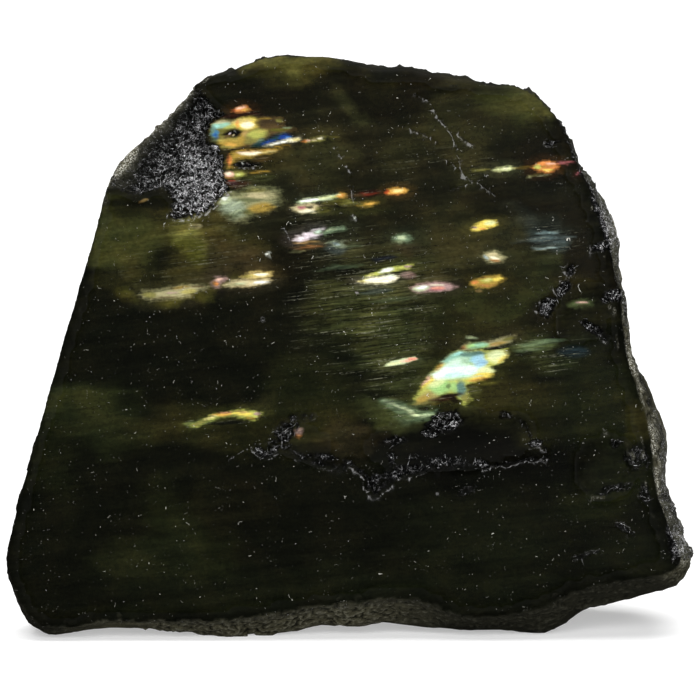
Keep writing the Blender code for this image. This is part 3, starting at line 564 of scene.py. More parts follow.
        (15.8, 41.5), (16.4, 42.2), (17.4, 42.5), (18.8, 42.6), (20.3, 42.8), (21.5, 43.2), (22.8, 43.5),
        (23.9, 43.6), (23.9, 43.1), (23.1, 42.4), (21.6, 41.9), (20.3, 41.8), (18.7, 41.6), (17.0, 41.4),
    ), "tan_khaki", 0.35, (
        ("copper", 16.4, 41.8, 0.87, 0.43, 30, 0.8), ("light_green", 18.6, 42.1, 2.5, 0.72, 4, 1),
        ("pale_teal", 19.0, 42.3, 1.6, 0.43, 4, 0.75), ("grey_teal", 18.0, 41.8, 1.3, 0.25, 4, 0.7),
        ("dull_gold", 21.6, 42.4, 1.7, 0.49, 7, 0.8), ("tan", 21.0, 42.2, 1, 0.23, 6, 0.7),
        ("ripple_olive", 23.1, 43.1, 1.3, 0.49, 8, 0.9),
    )),
    ((), "", 0, (
        ("pale_green", 17.8, 43.2, 1.3, 0.16, 8, 0.6), ("night", 25.2, 41.0, 1.7, 0.35, 8, 0.6),
    )),
    ((
        (9.2, 33.5), (9.4, 34.5), (9.9, 35.5), (10.6, 36.6), (11.3, 37.7), (11.9, 38.5), (12.6, 39.1),
        (13.5, 40.0), (14.5, 40.8), (15.5, 41.3), (17.7, 41.4), (20.0, 41.5), (21.6, 41.5), (22.9, 41.5),
        (23.1, 40.9), (22.5, 40.1), (21.6, 39.5), (20.3, 39.2), (20.8, 38.6), (20.6, 37.7), (19.4, 37.2),
        (18.0, 36.9), (17.1, 36.5), (17.1, 35.4), (17.5, 34.5), (16.7, 33.3), (15.8, 34.1), (15.1, 34.9),
        (14.0, 35.2), (13.2, 34.7), (11.9, 33.8), (10.4, 33.5),
    ), "yellow_green", 0.32, (
        ("olive_sand", 11.3, 34.5, 2.9, 1.3, 30, 0.95), ("dull_amber", 10.3, 34.1, 1.9, 0.72, 24, 0.8),
        ("ripple_olive", 11.9, 34.1, 1.9, 0.35, 14, 0.7), ("light_green", 13.2, 36.1, 2.3, 1.4, 8, 1),
        ("lime_cream", 12.5, 36.7, 1.7, 0.87, 20, 0.7), ("yellow", 11.5, 37.4, 2.8, 0.67, 50, 1),
        ("rose", 10.9, 37.0, 1.3, 0.38, 55, 0.9), ("gold", 13.2, 39.5, 2.2, 0.49, 45, 0.8),
        ("pale_teal", 16.1, 40.3, 3.9, 1.4, 8, 1), ("pale_green", 15.7, 39.7, 2.6, 0.87, 20, 0.4),
        ("mint", 14.6, 39.1, 2.3, 0.87, 30, 0.6), ("pale_mint", 15.4, 38.3, 4.9, 1.4, 6, 1),
        ("white", 13.2, 38.1, 1.9, 0.87, 30, 0.7), ("mint", 16.5, 38.7, 2.9, 0.78, 6, 0.9),
        ("white", 17.4, 38.2, 2.3, 0.43, 2, 0.4), ("sky", 18.6, 39.9, 1.4, 1.6, 0, 0.8),
        ("sky_blue", 19.0, 39.6, 0.72, 0.87, 0, 0.3), ("grey_teal", 17.4, 40.9, 2.9, 0.49, 3, 0.95),
        ("dark_teal", 19.1, 41.1, 1.7, 0.43, 3, 0.4), ("pale_cyan", 15.7, 40.9, 0.87, 0.29, 20, 0.5),
        ("lime_cream", 21.6, 40.5, 2.2, 1.3, 10, 0.95), ("pale_green", 20.9, 40.9, 1.4, 0.72, 6, 0.6),
        ("yellow", 21.9, 39.9, 1.3, 0.29, 20, 0.7), ("yellow", 22.2, 40.3, 1.3, 0.43, 20, 0.8),
        ("sun_olive", 22.8, 41.1, 0.87, 0.49, 0, 0.8), ("lime_cream", 19.6, 38.4, 2, 1, 4, 0.95),
        ("yellow", 19.3, 37.7, 2.6, 0.52, 5, 1), ("gold", 18.8, 37.2, 2.3, 0.38, 4, 0.8),
        ("pale_green", 18.0, 37.6, 1.7, 0.2, 2, 0.6), ("grey_teal", 16.1, 35.8, 1.1, 1.7, 0, 1),
        ("light_green", 15.1, 36.1, 0.67, 1.2, 0, 0.8), ("moss_green", 14.4, 36.3, 0.43, 0.58, 0, 0.7),
        ("sun_olive", 16.7, 34.4, 0.87, 1.2, -10, 0.9), ("yellow_green", 16.4, 33.8, 1, 0.35, -20, 0.9),
        ("moss_green", 17.5, 36.2, 0.72, 0.72, 0, 0.8),
    )),
    ((), "", 0, (
        ("maroon", 13.8, 34.6, 3.2, 0.61, 12, 0.9), ("dark_brown", 14.4, 34.9, 2, 0.55, 6, 0.95),
        ("dull_gold", 11.6, 33.6, 2, 0.23, 10, 0.5), ("ripple_olive", 19.4, 36.7, 2.6, 0.43, 3, 0.35),
        ("olive", 18.0, 35.5, 1.4, 1.4, 0, 0.8), ("dark_brown", 15.4, 34.1, 1.4, 0.43, -20, 0.8),
        ("black", 21.2, 41.7, 2.3, 0.22, 5, 1), ("moss_green", 9.0, 32.6, 6.1, 1.9, -10, 0.8),
        ("sage_green", 6.7, 33.5, 3.2, 1, -16, 0.6), ("sage_green", 10.1, 32.2, 3.2, 1, -6, 0.45),
        ("dusk", 10.7, 32.9, 1.3, 0.46, 0, 0.9), ("grey_green", 6.1, 33.8, 2, 0.32, -14, 0.7),
        ("pale_green", 7.5, 33.2, 2, 0.35, -22, 0.75), ("pale_green", 8.6, 32.5, 1.7, 0.29, -24, 0.7),
        ("pale_green", 9.6, 32.0, 1.9, 0.29, -12, 0.8), ("pale_green", 11.2, 32.0, 1.7, 0.26, 6, 0.7),
        ("sage_green", 12.2, 32.6, 1, 0.25, 40, 0.7), ("sage_green", 7.0, 32.5, 1.7, 0.32, -14, 0.5),
        ("sage_green", 10.1, 31.3, 2.3, 0.32, -2, 0.4), ("moss_green", -21.0, 31.2, 1.9, 0.67, 14, 0.95),
        ("moss_green", -22.8, 30.7, 1.4, 0.81, 0, 0.8),
    )),
    ((
        (-23.2, 30.4), (-22.3, 30.9), (-21.0, 31.6), (-19.9, 32.1), (-18.6, 32.5), (-16.8, 32.6),
        (-15.2, 32.8), (-13.6, 32.7), (-12.5, 32.4), (-12.9, 31.7), (-13.9, 31.2), (-15.2, 31.6),
        (-17.1, 31.9), (-18.8, 31.8), (-20.6, 31.2), (-22.0, 30.4),
    ), "yellow_green", 0.32, (
        ("sun_olive", -21.8, 30.9, 1.7, 0.49, 20, 0.95), ("pale_yellow", -20.2, 31.8, 1.4, 0.32, 20, 0.8),
        ("gold", -18.3, 32.2, 1.9, 0.35, 2, 0.95), ("salmon", -18.0, 32.5, 1.7, 0.19, 0, 0.8),
        ("yellow", -15.5, 32.3, 1.9, 0.38, -2, 0.9), ("tan", -15.5, 32.5, 1.3, 0.19, 0, 0.8),
        ("dull_gold", -14.2, 31.6, 1.2, 0.38, -10, 0.9), ("dusty_pink", -13.2, 32.3, 0.87, 0.38, 0, 0.9),
        ("umber", -12.8, 31.8, 0.58, 0.43, 0, 0.9), ("sun_olive", -16.5, 32.0, 1.7, 0.19, 0, 0.8),
    )),
    ((), "", 0, (
        ("night", -17.8, 31.0, 3.6, 0.43, 2, 0.95), ("dusty_pink", -7.4, 29.7, 0.94, 0.72, 10, 0.9),
        ("copper", -7.5, 29.1, 0.67, 0.43, 0, 0.6), ("ripple_olive", -30.3, 70.9, 1.3, 1.4, 30, 0.8),
    )),
)

# The outer share of a stroke over which it fades, how far a flash's edge is feathered in softnesses, the
# depth given to points far from any flash, and how much an outline is squeezed so that its ends fade.
STROKE_EDGE = 0.74
FEATHER = 2.7
OUT_OF_FLASH = 9.0
SQUEEZE = (0.55, 1.0, 1.0)

# Scene-linear colours of the broken skin and its crystals, and of what marks the cleaved face.
SKIN_DARK = (0.0088, 0.0088, 0.0058, 1)
SKIN_PALE = (0.128, 0.119, 0.070, 1)
# Painted highlight: the pale grey laid along the broken skin's ridges.
RIDGE_PAINTED_HIGHLIGHT = (0.17, 0.165, 0.125, 1)
SPECK = (0.62, 0.61, 0.54, 1)
# Painted shade: the near-black laid into the broken skin's grooves and hollows.
GROOVE_PAINTED_SHADE = (0.006, 0.006, 0.004, 1)
HAZE = (0.080, 0.080, 0.056, 1)
CRYSTAL_GREY = (0.060, 0.060, 0.060, 1)
# White of the crystal fibres and crumbs: partly the white of crushed feldspar, partly painted glints.
CRYSTAL_WHITE_AND_GLINT = (0.98, 0.97, 0.99, 1)
COOL_TINT = (0.93, 1.0, 0.92, 1)
WARM_TINT = (1.06, 0.99, 0.84, 1)
# Painted sheen of the fine lines along the lamellae.
LAMELLA_LINE = (0.24, 0.24, 0.17, 1)
CRACK_DARK = (0.004, 0.004, 0.003, 1)
CRACK_DUST = (0.052, 0.052, 0.044, 1)
MOTE = (0.50, 0.49, 0.44, 1)
CRUMB_CLEAR = (0.03, 0.03, 0.032, 1)
CRUMB_MILKY = (0.85, 0.85, 0.87, 1)


# ---------------------------------------------------------------------------------------------------
# Settings
# ---------------------------------------------------------------------------------------------------


def metres(name, description, default, low=0.0):
    """A property that is a length."""
    return FloatProperty(name=name, description=description, default=default, min=low, unit="LENGTH")


def factor(name, description, default):
    """A property from 0 to 1."""
    limits = {"min": 0.0, "max": 1.0, "subtype": "FACTOR"}
    return FloatProperty(name=name, description=description, default=default, **limits)


def number(name, description, default, unit="NONE", low=0.0):
    """A property that is a number or a power."""
    return FloatProperty(name=name, description=description, default=default, min=low, unit=unit)


class StoneSettings(bpy.types.PropertyGroup):
    """Sizes and finish of the stone."""

    skin_cell: metres("Skin cell", "Size of the mesh cells of the stone's skin", 0.0009, 0.0005)
    break_size: metres("Break size", "Size of the larger facets of the broken skin", 0.0046, 0.001)
    break_relief: factor("Break relief", "How far the broken skin's facets stand up", 0.27)
    crystal_size: metres("Crystal size", "Size of the facets in the crystalline chip", 0.0011, 0.0003)
    edge_bite: metres("Edge bite", "How far nicks reach in from the edge of the cleaved face", 0.0008)
    polish: factor("Face roughness", "Roughness of the cleaved face", 0.12)
    sheen_level: factor("Gloss level", "Share of the stone's gloss, 0.5 for clean feldspar", 0.3)
    refraction: number("Refraction", "Index of refraction of feldspar", FELDSPAR_IOR, low=1.0)


class CrumbSettings(bpy.types.PropertyGroup):
    """The loose splinters and crumbs on the stone."""

    splinter_length: metres("Splinter length", "Length of the longest cleavage splinters", 0.00095, 0.0001)
    splinters_per_cm2: number("Splinters per cm2", "How close the splinters lie in the breaks", 1250.0)
    speck_size: metres("Speck size", "Diameter of the largest specks on the face", 0.00020, 0.00005)
    specks_per_cm2: number("Specks per cm2", "How close the specks lie on the cleaved face", 24.0)
    seed: IntProperty(name="Seed", description="Seed of the scatter", default=11, min=0)


class StageSettings(bpy.types.PropertyGroup):
    """Camera, lights and floor."""

    eye_distance: metres("Eye distance", "From the camera to the plane that fills its frame", 0.750, 0.1)
    view_width: metres("View width", "Width of what the camera sees at that plane", 0.1015, 0.01)
    view_height: metres("View height", "Height up the face of the middle of the view", 0.04147)
    view_plane: metres("View plane", "Depth behind the face of the plane that fills the frame", 0.003)
    floor_size: metres("Floor size", "Side of the square floor", 9.0, 1.0)
    key_power: number("Key", "Power of the key light", 7.6, "POWER")
    fill_power: number("Fill", "Power of the fill light", 5.4, "POWER")
    overhead_power: number("Overhead", "Power of the overhead panel", 120.0, "POWER")
    air: FloatVectorProperty(
        name="Surroundings", description="Colour of the soft light from all round", subtype="COLOR",
        default=(0.03, 0.03, 0.03), min=0.0, max=1.0,
    )


# ---------------------------------------------------------------------------------------------------
# Fields over the face frame
# ---------------------------------------------------------------------------------------------------


def millimetres(length):
    """A property's length in metres, as millimetres of the face frame."""
    return length / METRES


def linear_colour(name):
    """The scene-linear colour of a named sRGB hex colour."""
    text = COLOURS[name]
    shares = [int(text[i:i + 2], 16) / 255 for i in (0, 2, 4)]
    linear = [c / 12.92 if c <= 0.04045 else ((c + 0.055) / 1.055) ** 2.4 for c in shares]
    return np.array((*linear, 1.0))


def smooth_step(low, high, value):
    """0 below low, 1 above high, and a smooth rise between."""
    t = np.clip((value - low) / (high - low), 0.0, 1.0)
    return t * t * (3.0 - 2.0 * t)


def hump(value, middle, spread):
    """1 in the middle, falling off like a bell curve."""
    return np.exp(-((value - middle) / spread) ** 2)


def distance_to_line(points, line):
    """Distance in (u, v) from each point to a line of points."""
    flat = points[:, (0, 2)]
    nearest = np.full(len(flat), np.inf)
    for start, end in zip(line[:-1], line[1:]):
        start = np.array(start)
        along = np.array(end) - start
        share = np.clip(((flat - start) @ along) / (along @ along), 0.0, 1.0)
        gap = np.linalg.norm(flat - start - share[:, None] * along, axis=1)
        nearest = np.minimum(nearest, gap)
    return nearest


def depth_inside(points, outline):
    """How far each point lies inside a closed outline in (u, v): negative outside it."""
    closed = list(outline) + [outline[0]]
    gap = distance_to_line(points, closed)
    u, v = points[:, 0], points[:, 2]
    inside = np.zeros(len(points), bool)
    for (u0, v0), (u1, v1) in zip(closed[:-1], closed[1:]):
        spans = (v0 > v) != (v1 > v)
        rise = v1 - v0 if v1 != v0 else 1e-9
        inside ^= spans & (u < (u1 - u0) * (v - v0) / rise + u0)
    return np.where(inside, gap, -gap)


def oval_place(points, u, v, half_length, half_width, tilt):
    """Each point's place along and across a tilted oval, as shares of its half sizes."""
    turn = math.radians(tilt)
    right, up = points[:, 0] - u, points[:, 2] - v
    along = (right * math.cos(turn) + up * math.sin(turn)) / half_length
    across = (-right * math.sin(turn) + up * math.cos(turn)) / half_width
    return along, across


def within_oval(points, *oval):
    """1 in the middle of an oval, falling evenly to 0 at its edge."""
    return np.clip(1.0 - np.hypot(*oval_place(points, *oval)), 0.0, 1.0)


def within_stroke(points, *oval):
    """1 along the middle of a lens-shaped stroke, falling to 0 at its sides and its pointed ends."""
    along, across = oval_place(points, *oval)
    return smooth_step(0.0, STROKE_EDGE, 1.0 - along * along - np.abs(across) ** 1.3)


def grown(oval, margin):
    """An oval made larger by a margin all round."""
    u, v, half_length, half_width, tilt = oval
    return u, v, half_length + margin, half_width + margin, tilt


def each_point(points, chosen, function):
    """An array with function(point) for the chosen points and 0 for the rest."""
    values = np.zeros(len(points))
    for index in np.nonzero(chosen)[0]:
        values[index] = function(Vector(points[index]))
    return values


def wander(points, size, seed):
    """A smooth noise from -1 to 1 over the face, with features of that size."""
    offset = Vector((seed, seed * 1.7, 0.0))
    near = points[:, 1] < NOISE_REACH
    return each_point(points, near, lambda p: noise.noise(p / size + offset))


def facet_height(point, size, stretch=(1.0, 1.0, 1.0)):
    """Height of a surface broken into flat facets of that size, each tilted its own way."""
    scaled = Vector(c / (size * s) for c, s in zip(point, stretch))
    _, centres = noise.voronoi(scaled)
    centre = centres[0]
    tilt = noise.noise_vector(centre * 7.13)
    return size * ((scaled - centre).dot(tilt) * 1.6 + 0.45 * noise.noise(centre * 5.71))


# ---------------------------------------------------------------------------------------------------
# The stone mesh
# ---------------------------------------------------------------------------------------------------


def evaluated_mesh(thing):
    """The mesh of an object with its modifiers applied."""
    depsgraph = bpy.context.evaluated_depsgraph_get()
    return bpy.data.meshes.new_from_object(thing.evaluated_get(depsgraph))


def linked_object(name, data):
    """A new object in the scene."""
    thing = bpy.data.objects.new(name, data)
    bpy.context.scene.collection.objects.link(thing)
    return thing


def even_skin(cell):
    """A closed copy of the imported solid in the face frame, remeshed to cells of one size."""
    work = bmesh.new()
    work.from_mesh(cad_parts[NODE].data)
    bmesh.ops.remove_doubles(work, verts=work.verts, dist=1e-6)
    work.transform(WORLD_TO_FACE)
    raw = bpy.data.meshes.new("raw_skin")
    work.to_mesh(raw)
    work.free()
    holder = linked_object("skin_holder", raw)
    remesh = holder.modifiers.new("Even skin", "REMESH")
    remesh.mode = "VOXEL"
    remesh.voxel_size = cell
    even = evaluated_mesh(holder)
    bpy.data.objects.remove(holder)
    bpy.data.meshes.remove(raw)
    return even


def vertex_arrays(work):
    """Places and normals of a bmesh's vertices."""
    work.verts.ensure_lookup_table()
    work.normal_update()
    points = np.array([vert.co for vert in work.verts])
    normals = np.array([vert.normal for vert in work.verts])
    return points, normals


def edge_gap(points, normals, reach):
    """Which points lie on the cleaved face, and their distance to the broken skin, up to reach."""
    on_face = (np.abs(points[:, 1]) < 0.05) & (normals[:, 1] < -0.9)
    rim = (~on_face) & (points[:, 1] < 1.5) & (points[:, 1] > -0.5)
    tree = kdtree.KDTree(int(rim.sum()))
    for index in np.nonzero(rim)[0]:
        tree.insert(Vector(points[index]), int(index))
    tree.balance()
    gaps = np.zeros(len(points))
    for index in np.nonzero(on_face)[0]:
        gaps[index] = min(reach, tree.find(Vector(points[index]))[2])
    return gaps, on_face


def fine_zone(points, normals, level):
    """Where the mesh is made finer: level 1 round every break, levels 2 and 3 closer in."""
    in_front = (points[:, 1] < FRONT_REACH) & (normals[:, 1] < 0.1)
    margin = (0.9, 0.3, 0.0)[level - 1]
    zone = np.zeros(len(points), bool)
    for outline, _, _, strokes in FLASHES if level < 3 else ():
        if outline:
            zone |= depth_inside(points, outline) > -0.5 - margin
        for _, *oval, _ in strokes:
            zone |= within_oval(points, *grown(oval, margin)) > 0.0
    for line in CRACKS:
        zone |= distance_to_line(points, line) < HAIRLINE[0] + 0.6 * margin + 0.1
    if level == 3:
        return zone & in_front
    zone |= depth_inside(points, CHIP) > -margin
    for line, (half_width, _, _) in LEDGES:
        zone |= distance_to_line(points, line) < half_width + margin
    for *oval, _, _ in PITS:
        zone |= within_oval(points, *grown(oval, margin)) > 0.0
    if level == 1:
        gaps, on_face = edge_gap(points, normals, 3.0)
        zone |= on_face & (gaps < 2.0)
        zone |= (~on_face) & (points[:, 1] < 4.5)
    else:
        zone &= points[:, 1] < 6.5
    return zone & in_front


def refine(mesh):
    """Splits the mesh where it needs to be finer, and returns it as a triangulated bmesh."""
    work = bmesh.new()
    work.from_mesh(mesh)
    points, normals = vertex_arrays(work)
    flat = (np.abs(points[:, 1]) < 0.3) & (normals[:, 1] < -0.93)
    for index in np.nonzero(flat)[0]:
        work.verts[index].co.y = 0.0
    for level in (1, 2, 3):
        points, normals = vertex_arrays(work)
        zone = fine_zone(points, normals, level)
        edges = [e for e in work.edges if zone[e.verts[0].index] and zone[e.verts[1].index]]
        bmesh.ops.subdivide_edges(work, edges=edges, cuts=1, use_grid_fill=True)
    bmesh.ops.triangulate(work, faces=work.faces)
    points, normals = vertex_arrays(work)
    across = np.hypot(points[:, 0] - DENT[0][0], points[:, 2] - DENT[0][1])
    past_chip = smooth_step(0.25, -0.15, depth_inside(points, CHIP) + 0.5 * wander(points, 0.45, 8.3))
    kept = 1.0 - past_chip * (across < DENT[1]) * (normals[:, 1] < -0.25)
    for vert, share in zip(work.verts, kept):
        vert.co.y *= share
    return work


def broken_relief(points, broken, settings):
    """Height of the broken skin's facets, ledges and grain: small near the face, wide planes behind."""
    size = millimetres(settings.break_size)

    def height(point):
        low = point.z < 9.0 and point.y < 12.0
        stretch = (4.5, 1.0, 0.8) if low else (1.5, 1.0, 1.0)
        share = min(max((point.y - 4.0) / 8.0, 0.0), 1.0)
        rise = facet_height(point, size, stretch) * (0.6 - 0.25 * share)
        rise += facet_height(point, size * 0.33, (1.3, 1.0, 0.8)) * (0.7 - 0.35 * share)
        rise += noise.fractal(point * 1.1, 0.9, 2.1, 3) * 0.3
        if share > 0.0:
            rise += facet_height(point, size * 2.6, (1.5, 1.0, 0.8)) * 0.5 * share
        if share < 1.0:
            rise += facet_height(point, size * 0.2) * 1.5 * (1.0 - share)
        return rise

    u, d, v = points.T
    near_face = smooth_step(17.0, 11.0, d)
    smooth_left = 1.0 - 0.75 * smooth_step(-24.0, -34.0, u) * near_face
    smooth_foot = 1.0 - 0.55 * smooth_step(-2.0, 12.0, u) * smooth_step(12.0, 8.0, v) * near_face
    relief = each_point(points, broken > 0.0, height) * broken
    return relief * smooth_left * smooth_foot * settings.break_relief


def concavity(points, normals, edges):
    """How hollow the surface is round each point: positive in grooves, negative on ridges."""
    total = np.zeros_like(points)
    spans = np.zeros(len(points))
    count = np.zeros(len(points))
    length = np.linalg.norm(points[edges[:, 0]] - points[edges[:, 1]], axis=1)
    for near, far in ((0, 1), (1, 0)):
        np.add.at(total, edges[:, near], points[edges[:, far]])
        np.add.at(spans, edges[:, near], length)
        np.add.at(count, edges[:, near], 1)
    offset = total / count[:, None] - points
    return (offset * normals).sum(axis=1) * count / spans


def crystal_relief(points, sparkle, settings):
    """Height of the small angular crystals where the stone sparkles."""
    size = millimetres(settings.crystal_size)

    def height(point):
        return facet_height(point, size, (1.0, 1.0, 1.5)) + 0.8 * facet_height(point, size * 0.45)

    return each_point(points, sparkle > 0.02, height) * np.minimum(sparkle * 1.6, 1.0)


def laid_over(below, share, above):
    """Colours with another laid over them by a share at each point."""
    return below + share[:, None] * (above - below)


def face_paint(points):
    """The cleaved face's deep colour, painted flash colour, depth inside a flash and painted sheen along
    its lamellae.

    The depth is in softnesses of the flash's edge, and shrinks slowly towards its ends.
    """
    deep = np.tile(linear_colour("ground"), (len(points), 1))
    lit = np.zeros(len(points))
    cloudy = points.copy()
    drawn_out = points / np.array((5.0, 1.0, 0.45))
    cloudy[:, 0] += 7.0 * wander(points, 10.0, 2.9) + 2.6 * wander(points, 3.6, 5.2)
    cloudy[:, 2] += 4.0 * wander(points, 8.0, 8.8) + 1.4 * wander(points, 2.6, 1.6)
    uneven = 0.26 * wander(drawn_out, 1.9, 5.5) + 0.22 * wander(points, 5.0, 4.1)
    for name, *oval, strength in GLOWS:
        within = within_oval(cloudy, *oval)
        share = smooth_step(0.0, 0.72, within + uneven * np.minimum(within * 5.0, 1.0)) * strength
        deep = laid_over(deep, share, linear_colour(name))
    for *oval, strength in STREAKED:
        lit = np.maximum(lit, smooth_step(0.0, 0.6, within_oval(cloudy, *oval)) * strength * 0.5)
    bent = points.copy()
    bent[:, 0] += 0.24 * wander(points, 1.7, 4.4) + 0.34 * wander(drawn_out, 1.0, 6.1)
    bent[:, 2] += 0.20 * wander(points, 2.3, 7.7) + 0.08 * wander(drawn_out, 1.0, 9.3)
    flash = deep.copy()
    inside = np.full(len(points), -OUT_OF_FLASH)
    for outline, base, softness, strokes in FLASHES:
        if not outline:
            for name, *oval, strength in strokes:
                share = within_stroke(bent, *oval) * strength
                deep = laid_over(deep, share, linear_colour(name))
                flash = laid_over(flash, share, linear_colour(name))
                lit = np.maximum(lit, share * 0.8)
            continue
        squeezed = [(u * SQUEEZE[0], v) for u, v in outline]
        depth = depth_inside(bent * np.array(SQUEEZE), squeezed) / softness
        nearer = smooth_step(-0.5, 0.5, depth - np.minimum(inside, 0.5))
        cover = np.maximum(smooth_step(-0.7, 0.7, depth), nearer * (inside < 0.5))
        colours = np.tile(linear_colour(base), (len(points), 1))
        for name, *oval, strength in strokes:
            colours = laid_over(colours, within_stroke(bent, *oval) * strength, linear_colour(name))
        flash = laid_over(flash, cover, colours)
        inside = np.maximum(inside, depth)
    return deep, flash, np.clip(inside, -OUT_OF_FLASH, OUT_OF_FLASH), lit


def chip_inwards(points):
    """How far each point of the chip lies from the rim of the stone towards the chip's inner edge."""
    return (points[:, 0] + 30.0) * 0.75 - (points[:, 2] - 70.0) * 0.65 + 2.0 * wander(points, 3.5, 1.3)


def strip_sparkle(points):
    """Where the right strip is crystalline: high up, half way down and at the lower corner."""
    u, _, v = points.T
    share = np.maximum(hump(v, 59.5, 4.5), hump(v, 48.8, 1.6))
    share = np.maximum(share, 0.7 * hump(v, 24.0, 6.0))
    share = np.maximum(share, hump(u, 48.0, 2.6) * hump(v, 13.2, 3.4))
    return np.clip(0.45 + 0.55 * share, 0.0, 1.0)


def skin_tone(points):
    """How pale the broken skin is: nearly black on the left and above, paler at the foot and behind."""
    u, d, v = points.T
    right = smooth_step(24.0, 36.0, u) * smooth_step(9.0, 14.0, v)
    right *= 0.5 + 0.4 * hump(v, 57.5, 6.0) + 0.3 * hump(v, 23.0, 6.0)
    right += 0.35 * hump(v, 42.2, 3.0) * (u > 36.0)
    right *= (1.0 + 0.7 * wander(points, 2.2, 6.6)) * smooth_step(17.0, 9.0, d)
    knob = hump(u, 48.0, 3.0) * hump(v, 13.2, 4.0)
    foot = 0.05 + 0.43 * smooth_step(17.0, -2.0, u) * smooth_step(-46.0, -34.0, u)
    foot *= smooth_step(10.0, 6.0, v)
    rim = 0.85 * smooth_step(1.5, -1.0, chip_inwards(points)) * smooth_step(56.0, 62.0, v) * (u < -14.0)
    foot_shift = 6.0 * smooth_step(-2.0, 14.0, u) * smooth_step(14.0, 8.0, v)
    behind = 0.5 * smooth_step(4.0, 11.0, d - foot_shift) * smooth_step(-54.0, -44.0, u)
    return np.max([right, knob, foot, rim, behind], axis=0)


def face_breaks(points, front, chip, rough, rough_fine):
    """How deep the chip, ledges, pits and cracks lie, how much they sparkle, and the cracks alone."""
    sink = chip * 0.45
    sparkle = chip * (0.42 + 0.58 * smooth_step(0.0, 8.0, chip_inwards(points)))
    sparkle *= 1.0 - 0.85 * smooth_step(0.3, -1.1, chip_inwards(points))
    patchy = 0.35 + 0.65 * smooth_step(-0.35, 0.25, wander(points, 1.1, 7.1))
    for line, (half_width, depth, shine) in LEDGES:
        gap = distance_to_line(points, line) + 0.36 * rough + 0.22 * rough_fine
        share = np.clip(1.2 - gap / half_width, 0.0, 1.0) * front
        sink = np.maximum(sink, share * depth)
        sparkle = np.maximum(sparkle, np.minimum(share * (0.16 + 0.6 * shine) * patchy, 1.0))
    for *oval, depth, shine in PITS:
        share = within_oval(points, *oval)
        ragged = share + 0.30 * rough + 0.25 * rough_fine - 0.12
        share = smooth_step(0.0, 0.45, ragged) * (share > 0.0) * front
        sink = np.maximum(sink, share * depth)
        sparkle = np.maximum(sparkle, share * shine)
    crack = np.zeros(len(points))
    half_width, depth = HAIRLINE
    for line in CRACKS:
        gap = distance_to_line(points, line) + 0.08 * rough_fine + 0.06 * rough
        crack = np.maximum(crack, np.clip(1.0 - gap / half_width, 0.0, 1.0))
    return sink + crack * depth * front, sparkle, crack * front


